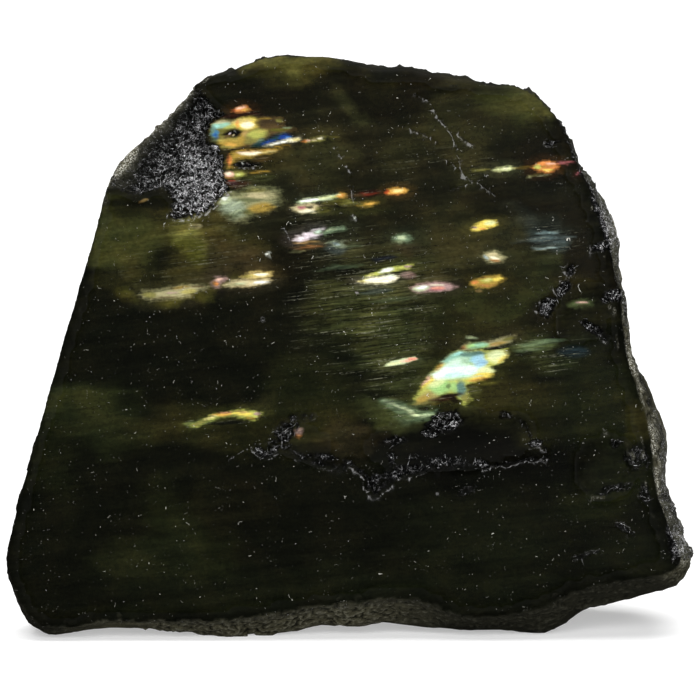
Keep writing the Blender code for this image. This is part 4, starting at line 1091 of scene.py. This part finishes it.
def stone_object(settings):
    """The finished stone mesh as an object, with the attributes that its material reads."""
    noise.seed_set(SEED)
    work = refine(even_skin(millimetres(settings.skin_cell)))
    points, normals = vertex_arrays(work)
    u, d, v = points.T
    gaps, on_face = edge_gap(points, normals, 6.0)
    facing = smooth_step(0.1, 0.5, -normals[:, 1])
    front = (d < FRONT_REACH) * facing

    rough = wander(points, 1.3, 3.1)
    rough_fine = wander(points, 0.45, 8.3)
    chip = smooth_step(-0.35, 0.35, depth_inside(points, CHIP) + 0.5 * rough_fine) * front
    sink, sparkle, crack = face_breaks(points, front, chip, rough, rough_fine)
    nick = millimetres(settings.edge_bite) * (0.25 + 0.75 * rough + 0.25 * rough_fine)
    nicked = smooth_step(0.0, 0.5, nick - gaps) * on_face * front
    sink = np.maximum(sink, nicked * 0.4)

    behind = d + 0.35 * rough + 0.2 * rough_fine
    start = 0.35 + 1.1 * smooth_step(7.5, 10.5, v)
    broken = smooth_step(0.0, 0.6, np.where(on_face, -1.0, behind - start))
    broken = np.where(d > 2.6, 1.0, broken)
    for oval in GLASSY_SCARS:
        glassy = smooth_step(0.0, 0.3, within_oval(points, *oval)) * (d < 2.5)
        broken = broken * (1.0 - 0.9 * glassy * facing)
    rim = smooth_step(0.3, -1.1, chip_inwards(points)) * chip
    broken = np.max([broken, nicked, rim], axis=0)
    relief_share = np.maximum(broken, smooth_step(0.05, 0.4, sparkle) * 0.9)
    skin_height = broken_relief(points, np.maximum(relief_share - chip, 0.0), settings)
    crystal_height = crystal_relief(points, sparkle, settings)

    lip = smooth_step(2.2, 0.6, d) * smooth_step(12.0, 8.0, v) * broken * facing
    lip *= 1.0 - 0.65 * smooth_step(8.0, 20.0, u)
    edge = smooth_step(-0.2, 0.5, depth_inside(points, RIGHT_STRIP) + 0.8 * rough)
    edge *= smooth_step(0.1, 0.7, behind) * smooth_step(8.0, 5.0, d)
    sparkle = np.max([sparkle, 0.95 * edge * strip_sparkle(points), 0.3 * lip], axis=0)

    moved = points + normals * (skin_height + (0.14 + 0.31 * chip) * crystal_height)[:, None]
    moved[:, 1] = np.maximum(moved[:, 1] + sink, 0.0)
    for vert, place in zip(work.verts, moved):
        vert.co = place
    worn = [vert for vert, depth in zip(work.verts, d) if depth > WORN_BEHIND]
    bmesh.ops.smooth_vert(
        work, verts=worn, factor=0.4, use_axis_x=True, use_axis_y=True, use_axis_z=True,
    )
    edges = np.array([[vert.index for vert in edge.verts] for edge in work.edges])
    # How hollow or ridged the skin is round each point; the material paints shade into the hollows and a
    # highlight onto the ridges from it.
    hollow = np.clip(0.5 + 2.4 * concavity(*vertex_arrays(work), edges), 0.0, 1.0)
    work.transform(FACE_TO_WORLD)
    for vert in work.verts:
        vert.co.z = max(vert.co.z, 0.0)
    mesh = bpy.data.meshes.new("stone")
    work.to_mesh(mesh)
    work.free()

    dusty = 0.35 + np.clip(wander(points, 9.0, 2.2) + wander(points, 2.0, 5.9), 0.0, 1.0)
    clean = (1.0 - broken) * on_face * dusty * (0.5 + 0.5 * smooth_step(20.0, 34.0, v))
    dull = np.minimum(sparkle * 4.0, 1.0)
    sheen = smooth_step(0.5, 1.8, gaps) * on_face * (sink < 0.01) * (1.0 - dull)
    deep, flash, inside, lit = face_paint(points)
    for name, values in {
        "broken": broken, "sparkle": sparkle, "hollow": hollow, "clean": clean, "lit": lit,
        "pale": skin_tone(points), "inside": inside, "crack": crack, "sheen": sheen,
        "deep": deep, "flash": flash,
    }.items():
        coloured = values.ndim == 2
        layer = mesh.attributes.new(name, "FLOAT_COLOR" if coloured else "FLOAT", "POINT")
        layer.data.foreach_set("color" if coloured else "value", values.astype(np.float32).ravel())
    mesh.shade_smooth()
    return linked_object("rough_stone", mesh)


# ---------------------------------------------------------------------------------------------------
# Nodes
# ---------------------------------------------------------------------------------------------------


def set_inputs(tree, node, inputs):
    """Links or sets a node's inputs, by name or number."""
    for key, given in inputs.items():
        if isinstance(given, bpy.types.NodeSocket):
            tree.links.new(given, node.inputs[key])
        else:
            node.inputs[key].default_value = given


def add_node(tree, kind, inputs=None, **options):
    """Adds a shader or geometry node with its options and its inputs, each a value or a socket."""
    node = tree.nodes.new(kind)
    for key, value in options.items():
        setattr(node, key, value)
    set_inputs(tree, node, inputs or {})
    return node


def maths(tree, operation, first, second):
    """The output of a Math node on two values or sockets."""
    return add_node(tree, "ShaderNodeMath", {0: first, 1: second}, operation=operation).outputs[0]


def product(tree, first, *others):
    """Values or sockets multiplied together."""
    for other in others:
        first = maths(tree, "MULTIPLY", first, other)
    return first


def summed(tree, first, *others):
    """Values or sockets added up."""
    for other in others:
        first = maths(tree, "ADD", first, other)
    return first


def blended(tree, share, below, above, kind="MIX"):
    """The colour output of a Mix node: above over below by share."""
    inputs = {0: share, 6: below, 7: above}
    return add_node(tree, "ShaderNodeMix", inputs, data_type="RGBA", blend_type=kind).outputs[2]


def ranged(tree, value, low, high, bottom=0.0, top=1.0, kind="LINEAR"):
    """A value's way from low to high, as one from bottom to top."""
    inputs = {"Value": value, "From Min": low, "From Max": high, "To Min": bottom, "To Max": top}
    return add_node(tree, "ShaderNodeMapRange", inputs, interpolation_type=kind).outputs["Result"]


def cloud(tree, place, scale, detail, roughness=0.5, distortion=0.0):
    """The value of a Noise Texture."""
    inputs = {"Vector": place, "Scale": scale, "Detail": detail, "Roughness": roughness,
              "Distortion": distortion}
    return add_node(tree, "ShaderNodeTexNoise", inputs).outputs["Fac"]


def new_tree(name, kind, inputs, outputs):
    """A node tree, with inputs of (name, kind, default) and outputs of (name, kind)."""
    tree = bpy.data.node_groups.new(name, kind)
    for label, sort, default in inputs:
        socket = tree.interface.new_socket(label, in_out="INPUT", socket_type="NodeSocket" + sort)
        if default is not None:
            socket.default_value = default
    for label, sort in outputs:
        tree.interface.new_socket(label, in_out="OUTPUT", socket_type="NodeSocket" + sort)
    return tree, tree.nodes.new("NodeGroupInput").outputs, tree.nodes.new("NodeGroupOutput")


def face_place_group():
    """Turns Object coordinates into millimetres of the face frame: (u, d, v), and flat as (u, v, 1)."""
    outputs = [("Body place", "Vector"), ("Face place", "Vector")]
    group, _, finish = new_tree("Face place", "ShaderNodeTree", [], outputs)
    place = add_node(group, "ShaderNodeTexCoord").outputs["Object"]
    body = add_node(group, "ShaderNodeMapping", {
        "Vector": place, "Location": WORLD_TO_FACE.to_translation(),
        "Rotation": (math.radians(FACE_LEAN), 0, 0), "Scale": (1 / METRES,) * 3,
    }).outputs[0]
    parts = add_node(group, "ShaderNodeSeparateXYZ", {0: body}).outputs
    flat = add_node(group, "ShaderNodeCombineXYZ", {0: parts["X"], 1: parts["Z"], 2: 1.0}).outputs[0]
    set_inputs(group, finish, {"Body place": body, "Face place": flat})
    return group


def lamellae_group():
    """Noise drawn out along the lamellae at three finenesses, and an even mottle and clouds."""
    layers = (
        ("Streaks", True, (0.06, 0.8, 1.0), (0.0, 0.0, 0.0), 4.0),
        ("Fine streaks", True, (0.30, 3.8, 1.0), (13.0, 4.0, 0.0), 3.0),
        ("Lines", True, (0.16, 4.0, 1.0), (3.0, 21.0, 0.0), 2.6),
        ("Mottle", False, (1.5, 2.1, 1.0), (5.0, 9.0, 0.0), 5.0),
        ("Clouds", False, (0.17, 0.24, 1.0), (2.0, 7.0, 0.0), 5.0),
    )
    outputs = [(layer[0], "Float") for layer in layers]
    group, start, finish = new_tree("Lamellae", "ShaderNodeTree", [("Face place", "Vector", None)], outputs)
    face = start["Face place"]
    turned = add_node(group, "ShaderNodeVectorRotate", {"Vector": face, "Angle": -math.radians(7.0)},
                      rotation_type="Z_AXIS").outputs[0]
    for label, along, scale, move, detail in layers:
        source = turned if along else face
        placed = add_node(group, "ShaderNodeMapping", {"Vector": source, "Scale": scale, "Location": move})
        set_inputs(group, finish, {label: cloud(group, placed.outputs[0], 1.0, detail, 0.6, 0.25)})
    return group


def crystal_net_group():
    """Fine crystal fibres and crumbs: bright edges, partly painted glints, a grey body and a height."""
    group, start, finish = new_tree(
        "Crystal net", "ShaderNodeTree", [("Body place", "Vector", None)],
        [("Edges", "Float"), ("Grey", "Float"), ("Height", "Float")],
    )
    place = start["Body place"]
    coarse, fine, wide = (cloud(group, place, scale, detail, 0.78)
                          for scale, detail in ((2.0, 4.0), (3.7, 3.0), (1.1, 2.0)))
    lines = []
    for cell, width in ((coarse, 0.013), (fine, 0.020)):
        gap = maths(group, "ABSOLUTE", maths(group, "SUBTRACT", cell, 0.5), 0.0)
        lines.append(ranged(group, gap, width, width * 0.3))
    crumb = add_node(group, "ShaderNodeTexVoronoi", {"Vector": place, "Scale": 4.2}).outputs
    picked = add_node(group, "ShaderNodeSeparateColor", {0: crumb["Color"]}).outputs
    fibres = product(group, maths(group, "MAXIMUM", *lines), ranged(group, picked[1], 0.25, 0.8))
    near = ranged(group, crumb["Distance"], 0.40, 0.30)
    dots = product(group, near, ranged(group, picked[0], 0.84, 0.95))
    clump = ranged(group, wide, 0.42, 0.58, 0.05, 1.0)
    set_inputs(group, finish, {
        "Edges": product(group, maths(group, "MAXIMUM", fibres, dots), clump),
        "Grey": product(group, ranged(group, fine, 0.42, 0.60), picked[2], clump),
        "Height": fine,
    })
    return group


# ---------------------------------------------------------------------------------------------------
# Materials
# ---------------------------------------------------------------------------------------------------


def use_group(tree, group, inputs=None):
    """The outputs of a node group placed in a tree."""
    return add_node(tree, "ShaderNodeGroup", node_tree=group, inputs=inputs).outputs


def blank_material(name):
    """A material with only a Principled BSDF and its output."""
    material = bpy.data.materials.new(name)
    material.use_nodes = True
    tree = material.node_tree
    tree.nodes.clear()
    shader = tree.nodes.new("ShaderNodeBsdfPrincipled")
    add_node(tree, "ShaderNodeOutputMaterial", {"Surface": shader.outputs[0]})
    return material, tree, shader


def attribute(tree, name, output="Fac"):
    """The value or colour of a named vertex attribute."""
    return add_node(tree, "ShaderNodeAttribute", attribute_name=name).outputs[output]


def grey_of(tree, value):
    """A value as a grey colour."""
    return add_node(tree, "ShaderNodeCombineColor", {0: value, 1: value, 2: value}).outputs[0]


def cleaved_colour(tree, lamellae, body, face):
    """The cleaved face: feathered flashes, painted labradorescence, over the deep colour, lamellae,
    mottling, cracks and motes.
    """
    deep, flash = (attribute(tree, name, "Color") for name in ("deep", "flash"))
    lit, inside, crack = (attribute(tree, name) for name in ("lit", "inside", "crack"))
    streaks, fine, lines, mottle, clouds = lamellae
    rough_edge = product(tree, summed(tree, fine, mottle), 0.5)
    feather = product(tree, maths(tree, "SUBTRACT", rough_edge, 0.5), FEATHER)
    feathered = summed(tree, inside, feather)
    fill = ranged(tree, feathered, -0.9, 1.1, kind="SMOOTHSTEP")
    halo = ranged(tree, feathered, -4.0, 0.5, 0.0, 0.05)
    colour = blended(tree, maths(tree, "MAXIMUM", fill, halo), deep, flash)

    silk = ranged(tree, lit, 0.05, 0.5)
    threads = product(
        tree, ranged(tree, fine, 0.36, 0.66, 0.50, 1.6), ranged(tree, streaks, 0.36, 0.62, 0.70, 1.25),
    )
    threads = product(tree, maths(tree, "SUBTRACT", threads, 1.0), silk)
    dark = product(
        tree, ranged(tree, clouds, 0.36, 0.66, 0.44, 0.76), ranged(tree, mottle, 0.34, 0.68, 0.72, 1.25),
        ranged(tree, streaks, 0.36, 0.64, 0.72, 1.22), summed(tree, threads, 1.0),
    )
    bright = product(
        tree, ranged(tree, fine, 0.34, 0.62, 0.80, 1.04), ranged(tree, mottle, 0.34, 0.60, 0.86, 1.02),
        ranged(tree, cloud(tree, body, 4.0, 2.0), 0.36, 0.6, 0.90, 1.04),
    )
    full = maths(tree, "MAXIMUM", fill, ranged(tree, lit, 0.5, 1.0, 0.0, 0.7))
    shade = blended(tree, full, grey_of(tree, dark), grey_of(tree, bright))
    colour = blended(tree, 1.0, colour, shade, "MULTIPLY")
    tint = blended(tree, ranged(tree, clouds, 0.42, 0.62), COOL_TINT, WARM_TINT)
    colour = blended(tree, maths(tree, "SUBTRACT", 1.0, full), colour, tint, "MULTIPLY")
    # Painted sheen: fine pale lines along the lamellae in the silky parts of the face.
    line = product(tree, ranged(tree, lines, 0.57, 0.70), silk, ranged(tree, mottle, 0.42, 0.58), 0.45)
    colour = blended(tree, line, colour, LAMELLA_LINE)

    dusty = ranged(tree, cloud(tree, body, 5.0, 1.0), 0.58, 0.70)
    lip = blended(tree, dusty, CRACK_DARK, CRACK_DUST)
    colour = blended(tree, ranged(tree, crack, 0.4, 0.85, 0.0, 0.7), colour, lip)
    swirl = add_node(tree, "ShaderNodeTexNoise", {"Vector": face, "Scale": 0.6, "Detail": 2.0})
    strewn = add_node(
        tree, "ShaderNodeVectorMath", {0: swirl.outputs["Color"], 1: (3.0, 3.0, 0.0), 2: face},
        operation="MULTIPLY_ADD",
    ).outputs[0]
    motes = add_node(tree, "ShaderNodeTexVoronoi", {"Vector": strewn, "Scale": 1.5},
                     voronoi_dimensions="2D").outputs
    luck, bulk, glint = add_node(tree, "ShaderNodeSeparateColor", {0: motes["Color"]}).outputs
    size = ranged(tree, maths(tree, "POWER", bulk, 2.5), 0.0, 1.0, 0.04, 0.10)
    luck = summed(tree, luck, product(tree, clouds, 0.5), product(tree, lit, 0.25))
    mote = product(tree, maths(tree, "LESS_THAN", motes["Distance"], size), ranged(tree, luck, 1.05, 1.2))
    return blended(tree, product(tree, mote, ranged(tree, glint, 0.0, 1.0, 0.1, 0.9)), colour, MOTE)


def stone_material(settings):
    """Labradorite: a dark cleaved face with its flashes painted as fixed colour, and a dull broken skin
    with painted shade in its hollows and painted highlights on its ridges.
    """
    material, tree, shader = blank_material("labradorite")
    body, face = use_group(tree, face_place_group())
    lamellae = use_group(tree, lamellae_group(), {"Face place": face})
    net_edges, net_grey, net_height = use_group(tree, crystal_net_group(), {"Body place": body})
    broken, sparkle, hollow, pale, sheen = (
        attribute(tree, name) for name in ("broken", "sparkle", "hollow", "pale", "sheen")
    )
    cleaved = cleaved_colour(tree, lamellae, body, face)

    layered = add_node(tree, "ShaderNodeVectorMath", {0: body, 1: (0.5, 1.0, 1.35)},
                       operation="MULTIPLY").outputs[0]
    grain = cloud(tree, layered, 0.6, 7.0, 0.72)
    fine_grain = cloud(tree, layered, 4.8, 3.0, 0.7)
    specks = cloud(tree, body, 4.5, 2.0, 0.6)
    tone = product(tree, ranged(tree, grain, 0.34, 0.70, 0.30, 1.0), pale)
    skin = blended(tree, tone, SKIN_DARK, SKIN_PALE)
    # Painted highlight: the skin turns paler on its ridges, where the mesh bulges.
    ridge_highlight = product(
        tree, ranged(tree, hollow, 0.40, 0.15), ranged(tree, fine_grain, 0.36, 0.62, 0.2, 1.0),
        ranged(tree, pale, 0.0, 0.9, 0.05, 0.9),
    )
    skin = blended(tree, ridge_highlight, skin, RIDGE_PAINTED_HIGHLIGHT)
    speck = product(tree, ranged(tree, specks, 0.52, 0.58), ranged(tree, pale, 0.5, 0.8, 0.0, 0.9))
    skin = blended(tree, speck, skin, SPECK)
    # Painted shade: the skin darkens in its grooves and hollows, by how hollow the mesh is there.
    skin = blended(tree, ranged(tree, hollow, 0.60, 0.92, 0.0, 0.85), skin, GROOVE_PAINTED_SHADE)
    colour = blended(tree, broken, cleaved, skin)

    dim = grey_of(tree, ranged(tree, sparkle, 0.04, 0.45, 1.0, 0.10))
    colour = blended(tree, 1.0, colour, dim, "MULTIPLY")
    haze = product(tree, sparkle, product(tree, pale, broken), ranged(tree, grain, 0.4, 0.6, 0.3, 1.6))
    colour = blended(tree, haze, colour, HAZE)
    strength = product(tree, ranged(tree, grain, 0.36, 0.6, 0.45, 1.0), sparkle)
    colour = blended(tree, product(tree, net_grey, strength), colour, CRYSTAL_GREY)
    # The crystals' white edges: partly crushed feldspar's own white, partly painted glints.
    lit_edges = ranged(tree, maths(tree, "SUBTRACT", summed(tree, net_edges, strength), 1.0), 0.0, 0.35)
    lit_edges = product(tree, lit_edges, ranged(tree, strength, 0.15, 0.9, 0.08, 1.0))
    colour = blended(tree, lit_edges, colour, CRYSTAL_WHITE_AND_GLINT)

    relief = product(tree, broken, ranged(tree, pale, 0.05, 0.4, 0.3, 1.0))
    skin_height = product(tree, summed(tree, grain, fine_grain), relief)
    height = summed(tree, skin_height, product(tree, net_height, sparkle))
    bump = add_node(tree, "ShaderNodeBump", {"Height": height, "Distance": 0.0004, "Strength": 0.8})
    shader.inputs["Specular IOR Level"].default_value = settings.sheen_level
    set_inputs(tree, shader, {
        "Base Color": colour, "Normal": bump.outputs[0], "IOR": settings.refraction,
        "Roughness": ranged(tree, sheen, 0.0, 0.3, 0.65, settings.polish),
        "Specular IOR Level": ranged(tree, sheen, 0.35, 1.0, 0.03, settings.sheen_level),
    })
    return material


def crumb_material():
    """Clear to milky feldspar splinters, each a little different."""
    material, tree, shader = blank_material("crumbs")
    place = add_node(tree, "ShaderNodeTexCoord").outputs["Object"]
    milky = ranged(tree, cloud(tree, place, 1900.0, 1.0), 0.42, 0.62)
    splinter_shade = grey_of(tree, ranged(tree, attribute(tree, "sparkle"), 0.3, 0.9, 0.22, 1.0))
    speck_shade = grey_of(tree, ranged(tree, attribute(tree, "clean"), 0.0, 0.3, 0.0, 0.6))
    shade = blended(tree, 1.0, splinter_shade, speck_shade, "LIGHTEN")
    colour = blended(tree, 1.0, blended(tree, milky, CRUMB_CLEAR, CRUMB_MILKY), shade, "MULTIPLY")
    set_inputs(tree, shader, {"Base Color": colour, "Roughness": 0.35, "IOR": FELDSPAR_IOR})
    return material


# ---------------------------------------------------------------------------------------------------
# Scattered crumbs, by Geometry Nodes
# ---------------------------------------------------------------------------------------------------


def scatter_tree(name):
    """Scatters slim splinters where an attribute of the surface says, and realizes them."""
    tree, start, finish = new_tree(name, "GeometryNodeTree", (
        ("Surface", "Geometry", None), ("Density", "Float", 1.0), ("Where", "String", "sparkle"),
        ("Threshold", "Float", 0.3), ("Length", "Float", 0.0005), ("Slimness", "Float", 0.35),
        ("Seed", "Int", 1), ("Material", "Material", None),
    ), [("Crumbs", "Geometry")])
    seed = start["Seed"]
    where = add_node(tree, "GeometryNodeInputNamedAttribute", {"Name": start["Where"]}, data_type="FLOAT")
    raised = add_node(tree, "ShaderNodeMath", {0: where.outputs["Attribute"], 1: start["Threshold"]},
                      operation="SUBTRACT", use_clamp=True)
    density = product(tree, raised.outputs[0], start["Density"])
    points = add_node(tree, "GeometryNodeDistributePointsOnFaces",
                      {"Mesh": start["Surface"], "Density": density, "Seed": seed}).outputs
    spike = add_node(tree, "GeometryNodeMeshCone", {
        "Vertices": 3, "Radius Top": 0.0, "Depth": start["Length"],
        "Radius Bottom": product(tree, start["Length"], start["Slimness"]),
    })
    lying = add_node(tree, "GeometryNodeTransform",
                     {"Geometry": spike.outputs["Mesh"], "Rotation": (0.0, math.radians(80.0), 0.0)})
    spin = add_node(tree, "FunctionNodeRandomValue",
                    {"Min": (-0.3, -0.5, -3.15), "Max": (0.3, 0.5, 3.15), "Seed": seed},
                    data_type="FLOAT_VECTOR")
    spun = add_node(tree, "FunctionNodeEulerToRotation", {0: spin.outputs[0]})
    turn = add_node(tree, "FunctionNodeRotateRotation", {0: points["Rotation"], 1: spun.outputs[0]},
                    rotation_space="LOCAL")
    size = add_node(tree, "FunctionNodeRandomValue", {"Seed": seed}, data_type="FLOAT")
    for socket in size.inputs:
        if socket.enabled and socket.name == "Min":
            socket.default_value = 0.3
    placed = add_node(tree, "GeometryNodeInstanceOnPoints", {
        "Points": points["Points"], "Instance": lying.outputs[0], "Rotation": turn.outputs[0],
        "Scale": size.outputs[1],
    })
    real = add_node(tree, "GeometryNodeRealizeInstances", {0: placed.outputs[0]})
    painted = add_node(tree, "GeometryNodeSetMaterial",
                       {"Geometry": real.outputs[0], "Material": start["Material"]})
    set_inputs(tree, finish, {"Crumbs": painted.outputs[0]})
    return tree


def scattered(name, surface, values):
    """A plain mesh object of crumbs scattered over a surface object."""
    holder = linked_object(name + "_holder", surface.data)
    modifier = holder.modifiers.new("Scatter", "NODES")
    modifier.node_group = scatter_tree(name)
    for item in modifier.node_group.interface.items_tree:
        if item.in_out == "INPUT" and item.name in values:
            modifier[item.identifier] = values[item.name]
    mesh = evaluated_mesh(holder)
    bpy.data.objects.remove(holder)
    return linked_object(name, mesh)


# ---------------------------------------------------------------------------------------------------
# Operators
# ---------------------------------------------------------------------------------------------------


class LABRADORITE_OT_stone(bpy.types.Operator):
    """Make the stone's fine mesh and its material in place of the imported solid"""

    bl_idname = "labradorite.stone"
    bl_label = "Stone"

    def execute(self, context):
        settings = context.scene.labradorite_stone
        stone = stone_object(settings)
        stone.data.materials.append(stone_material(settings))
        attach(stone, BODY)
        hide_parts(NODE)
        return {"FINISHED"}


class LABRADORITE_OT_crumbs(bpy.types.Operator):
    """Scatter splinters in the chip and pits, and specks over the cleaved face"""

    bl_idname = "labradorite.crumbs"
    bl_label = "Splinters and specks"

    def execute(self, context):
        settings = context.scene.labradorite_crumbs
        surface = bpy.data.objects["rough_stone"]
        material = crumb_material()
        splinters = scattered("splinters", surface, {
            "Density": settings.splinters_per_cm2 * CM2_PER_M2, "Where": "sparkle", "Threshold": 0.2,
            "Length": settings.splinter_length, "Slimness": 0.038, "Seed": settings.seed,
            "Material": material,
        })
        specks = scattered("specks", surface, {
            "Density": settings.specks_per_cm2 * CM2_PER_M2, "Where": "clean", "Threshold": 0.0,
            "Length": settings.speck_size, "Slimness": 0.22, "Seed": settings.seed + 1,
            "Material": material,
        })
        for piece in (splinters, specks):
            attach(piece, BODY)
        return {"FINISHED"}


class LABRADORITE_OT_stage(bpy.types.Operator):
    """Set up the floor, the soft lights, the surroundings and the camera"""

    bl_idname = "labradorite.stage"
    bl_label = "Stage"

    def execute(self, context):
        settings = context.scene.labradorite_stage
        make_floor(settings)
        make_surroundings(settings)
        make_lights(settings)
        make_camera(settings)
        context.scene.view_settings.view_transform = "Standard"
        return {"FINISHED"}


def make_floor(settings):
    """A plain pale floor, well past what the camera sees."""
    work = bmesh.new()
    bmesh.ops.create_grid(work, x_segments=1, y_segments=1, size=settings.floor_size / 2)
    mesh = bpy.data.meshes.new("floor")
    work.to_mesh(mesh)
    work.free()
    floor = linked_object("floor", mesh)
    material, tree, shader = blank_material("floor_paint")
    set_inputs(tree, shader, {
        "Base Color": (0.60, 0.60, 0.60, 1), "Roughness": 0.85,
        "Emission Color": (1, 1, 1, 1), "Emission Strength": 0.42,
    })
    mesh.materials.append(material)
    floor.visible_glossy = False


def make_surroundings(settings):
    """White for the camera, and a dim even light for everything else."""
    world = bpy.data.worlds.new("surroundings")
    world.use_nodes = True
    tree = world.node_tree
    tree.nodes.clear()
    seen = add_node(tree, "ShaderNodeLightPath").outputs["Is Camera Ray"]
    background = add_node(tree, "ShaderNodeBackground",
                          {"Color": blended(tree, seen, (*settings.air, 1), (1, 1, 1, 1))})
    add_node(tree, "ShaderNodeOutputWorld", {"Surface": background.outputs[0]})
    bpy.context.scene.world = world


def make_lights(settings):
    """A soft key from the upper left, a fill from the right and a wide panel overhead."""
    middle = (0.0, 0.0, 0.04)
    for name, place, target, side, power in (
        ("key", (-0.32, -0.94, 0.62), middle, 0.5, settings.key_power),
        ("fill", (0.38, -0.92, 0.42), middle, 0.5, settings.fill_power),
        ("overhead", (0.0, 0.6, 2.4), (0.0, 0.6, 0.0), 3.0, settings.overhead_power),
    ):
        light = bpy.data.lights.new(name, "AREA")
        light.shape = "SQUARE"
        light.size = side
        light.energy = power
        lamp = linked_object(name, light)
        lamp.location = place
        lamp.rotation_euler = (Vector(target) - Vector(place)).to_track_quat("-Z", "Y").to_euler()


def make_camera(settings):
    """The camera, square on to the cleaved face."""
    data = bpy.data.cameras.new("camera")
    data.sensor_width = 36.0
    data.lens = data.sensor_width * settings.eye_distance / settings.view_width
    data.clip_start = 0.01
    camera = linked_object("camera", data)
    behind = millimetres(settings.view_plane - settings.eye_distance)
    camera.location = FACE_TO_WORLD @ Vector((0.0, behind, millimetres(settings.view_height)))
    camera.rotation_euler = (math.radians(90.0 - FACE_LEAN), 0.0, 0.0)
    bpy.context.scene.camera = camera


class LABRADORITE_PT_panel(bpy.types.Panel):
    """The settings and steps in the sidebar"""

    bl_label = "Labradorite"
    bl_idname = "LABRADORITE_PT_panel"
    bl_space_type = "VIEW_3D"
    bl_region_type = "UI"
    bl_category = "Labradorite"

    def draw(self, context):
        for group in (context.scene.labradorite_stone, context.scene.labradorite_crumbs,
                      context.scene.labradorite_stage):
            box = self.layout.box()
            for name in group.bl_rna.properties.keys():
                if name not in {"rna_type", "name"}:
                    box.prop(group, name)
        for operator in OPERATORS:
            self.layout.operator(operator.bl_idname)


SETTINGS = {
    "labradorite_stone": StoneSettings,
    "labradorite_crumbs": CrumbSettings,
    "labradorite_stage": StageSettings,
}
OPERATORS = (LABRADORITE_OT_stone, LABRADORITE_OT_crumbs, LABRADORITE_OT_stage)


def register():
    """Registers the settings, operators and panel."""
    for name, group in SETTINGS.items():
        bpy.utils.register_class(group)
        setattr(bpy.types.Scene, name, PointerProperty(type=group))
    for kind in (*OPERATORS, LABRADORITE_PT_panel):
        bpy.utils.register_class(kind)


def unregister():
    """Removes what register added."""
    for kind in (LABRADORITE_PT_panel, *reversed(OPERATORS)):
        bpy.utils.unregister_class(kind)
    for name, group in SETTINGS.items():
        delattr(bpy.types.Scene, name)
        bpy.utils.unregister_class(group)


def main():
    """Builds everything in order."""
    register()
    bpy.ops.labradorite.stone()
    bpy.ops.labradorite.crumbs()
    bpy.ops.labradorite.stage()


if __name__ == "__main__":
    main()
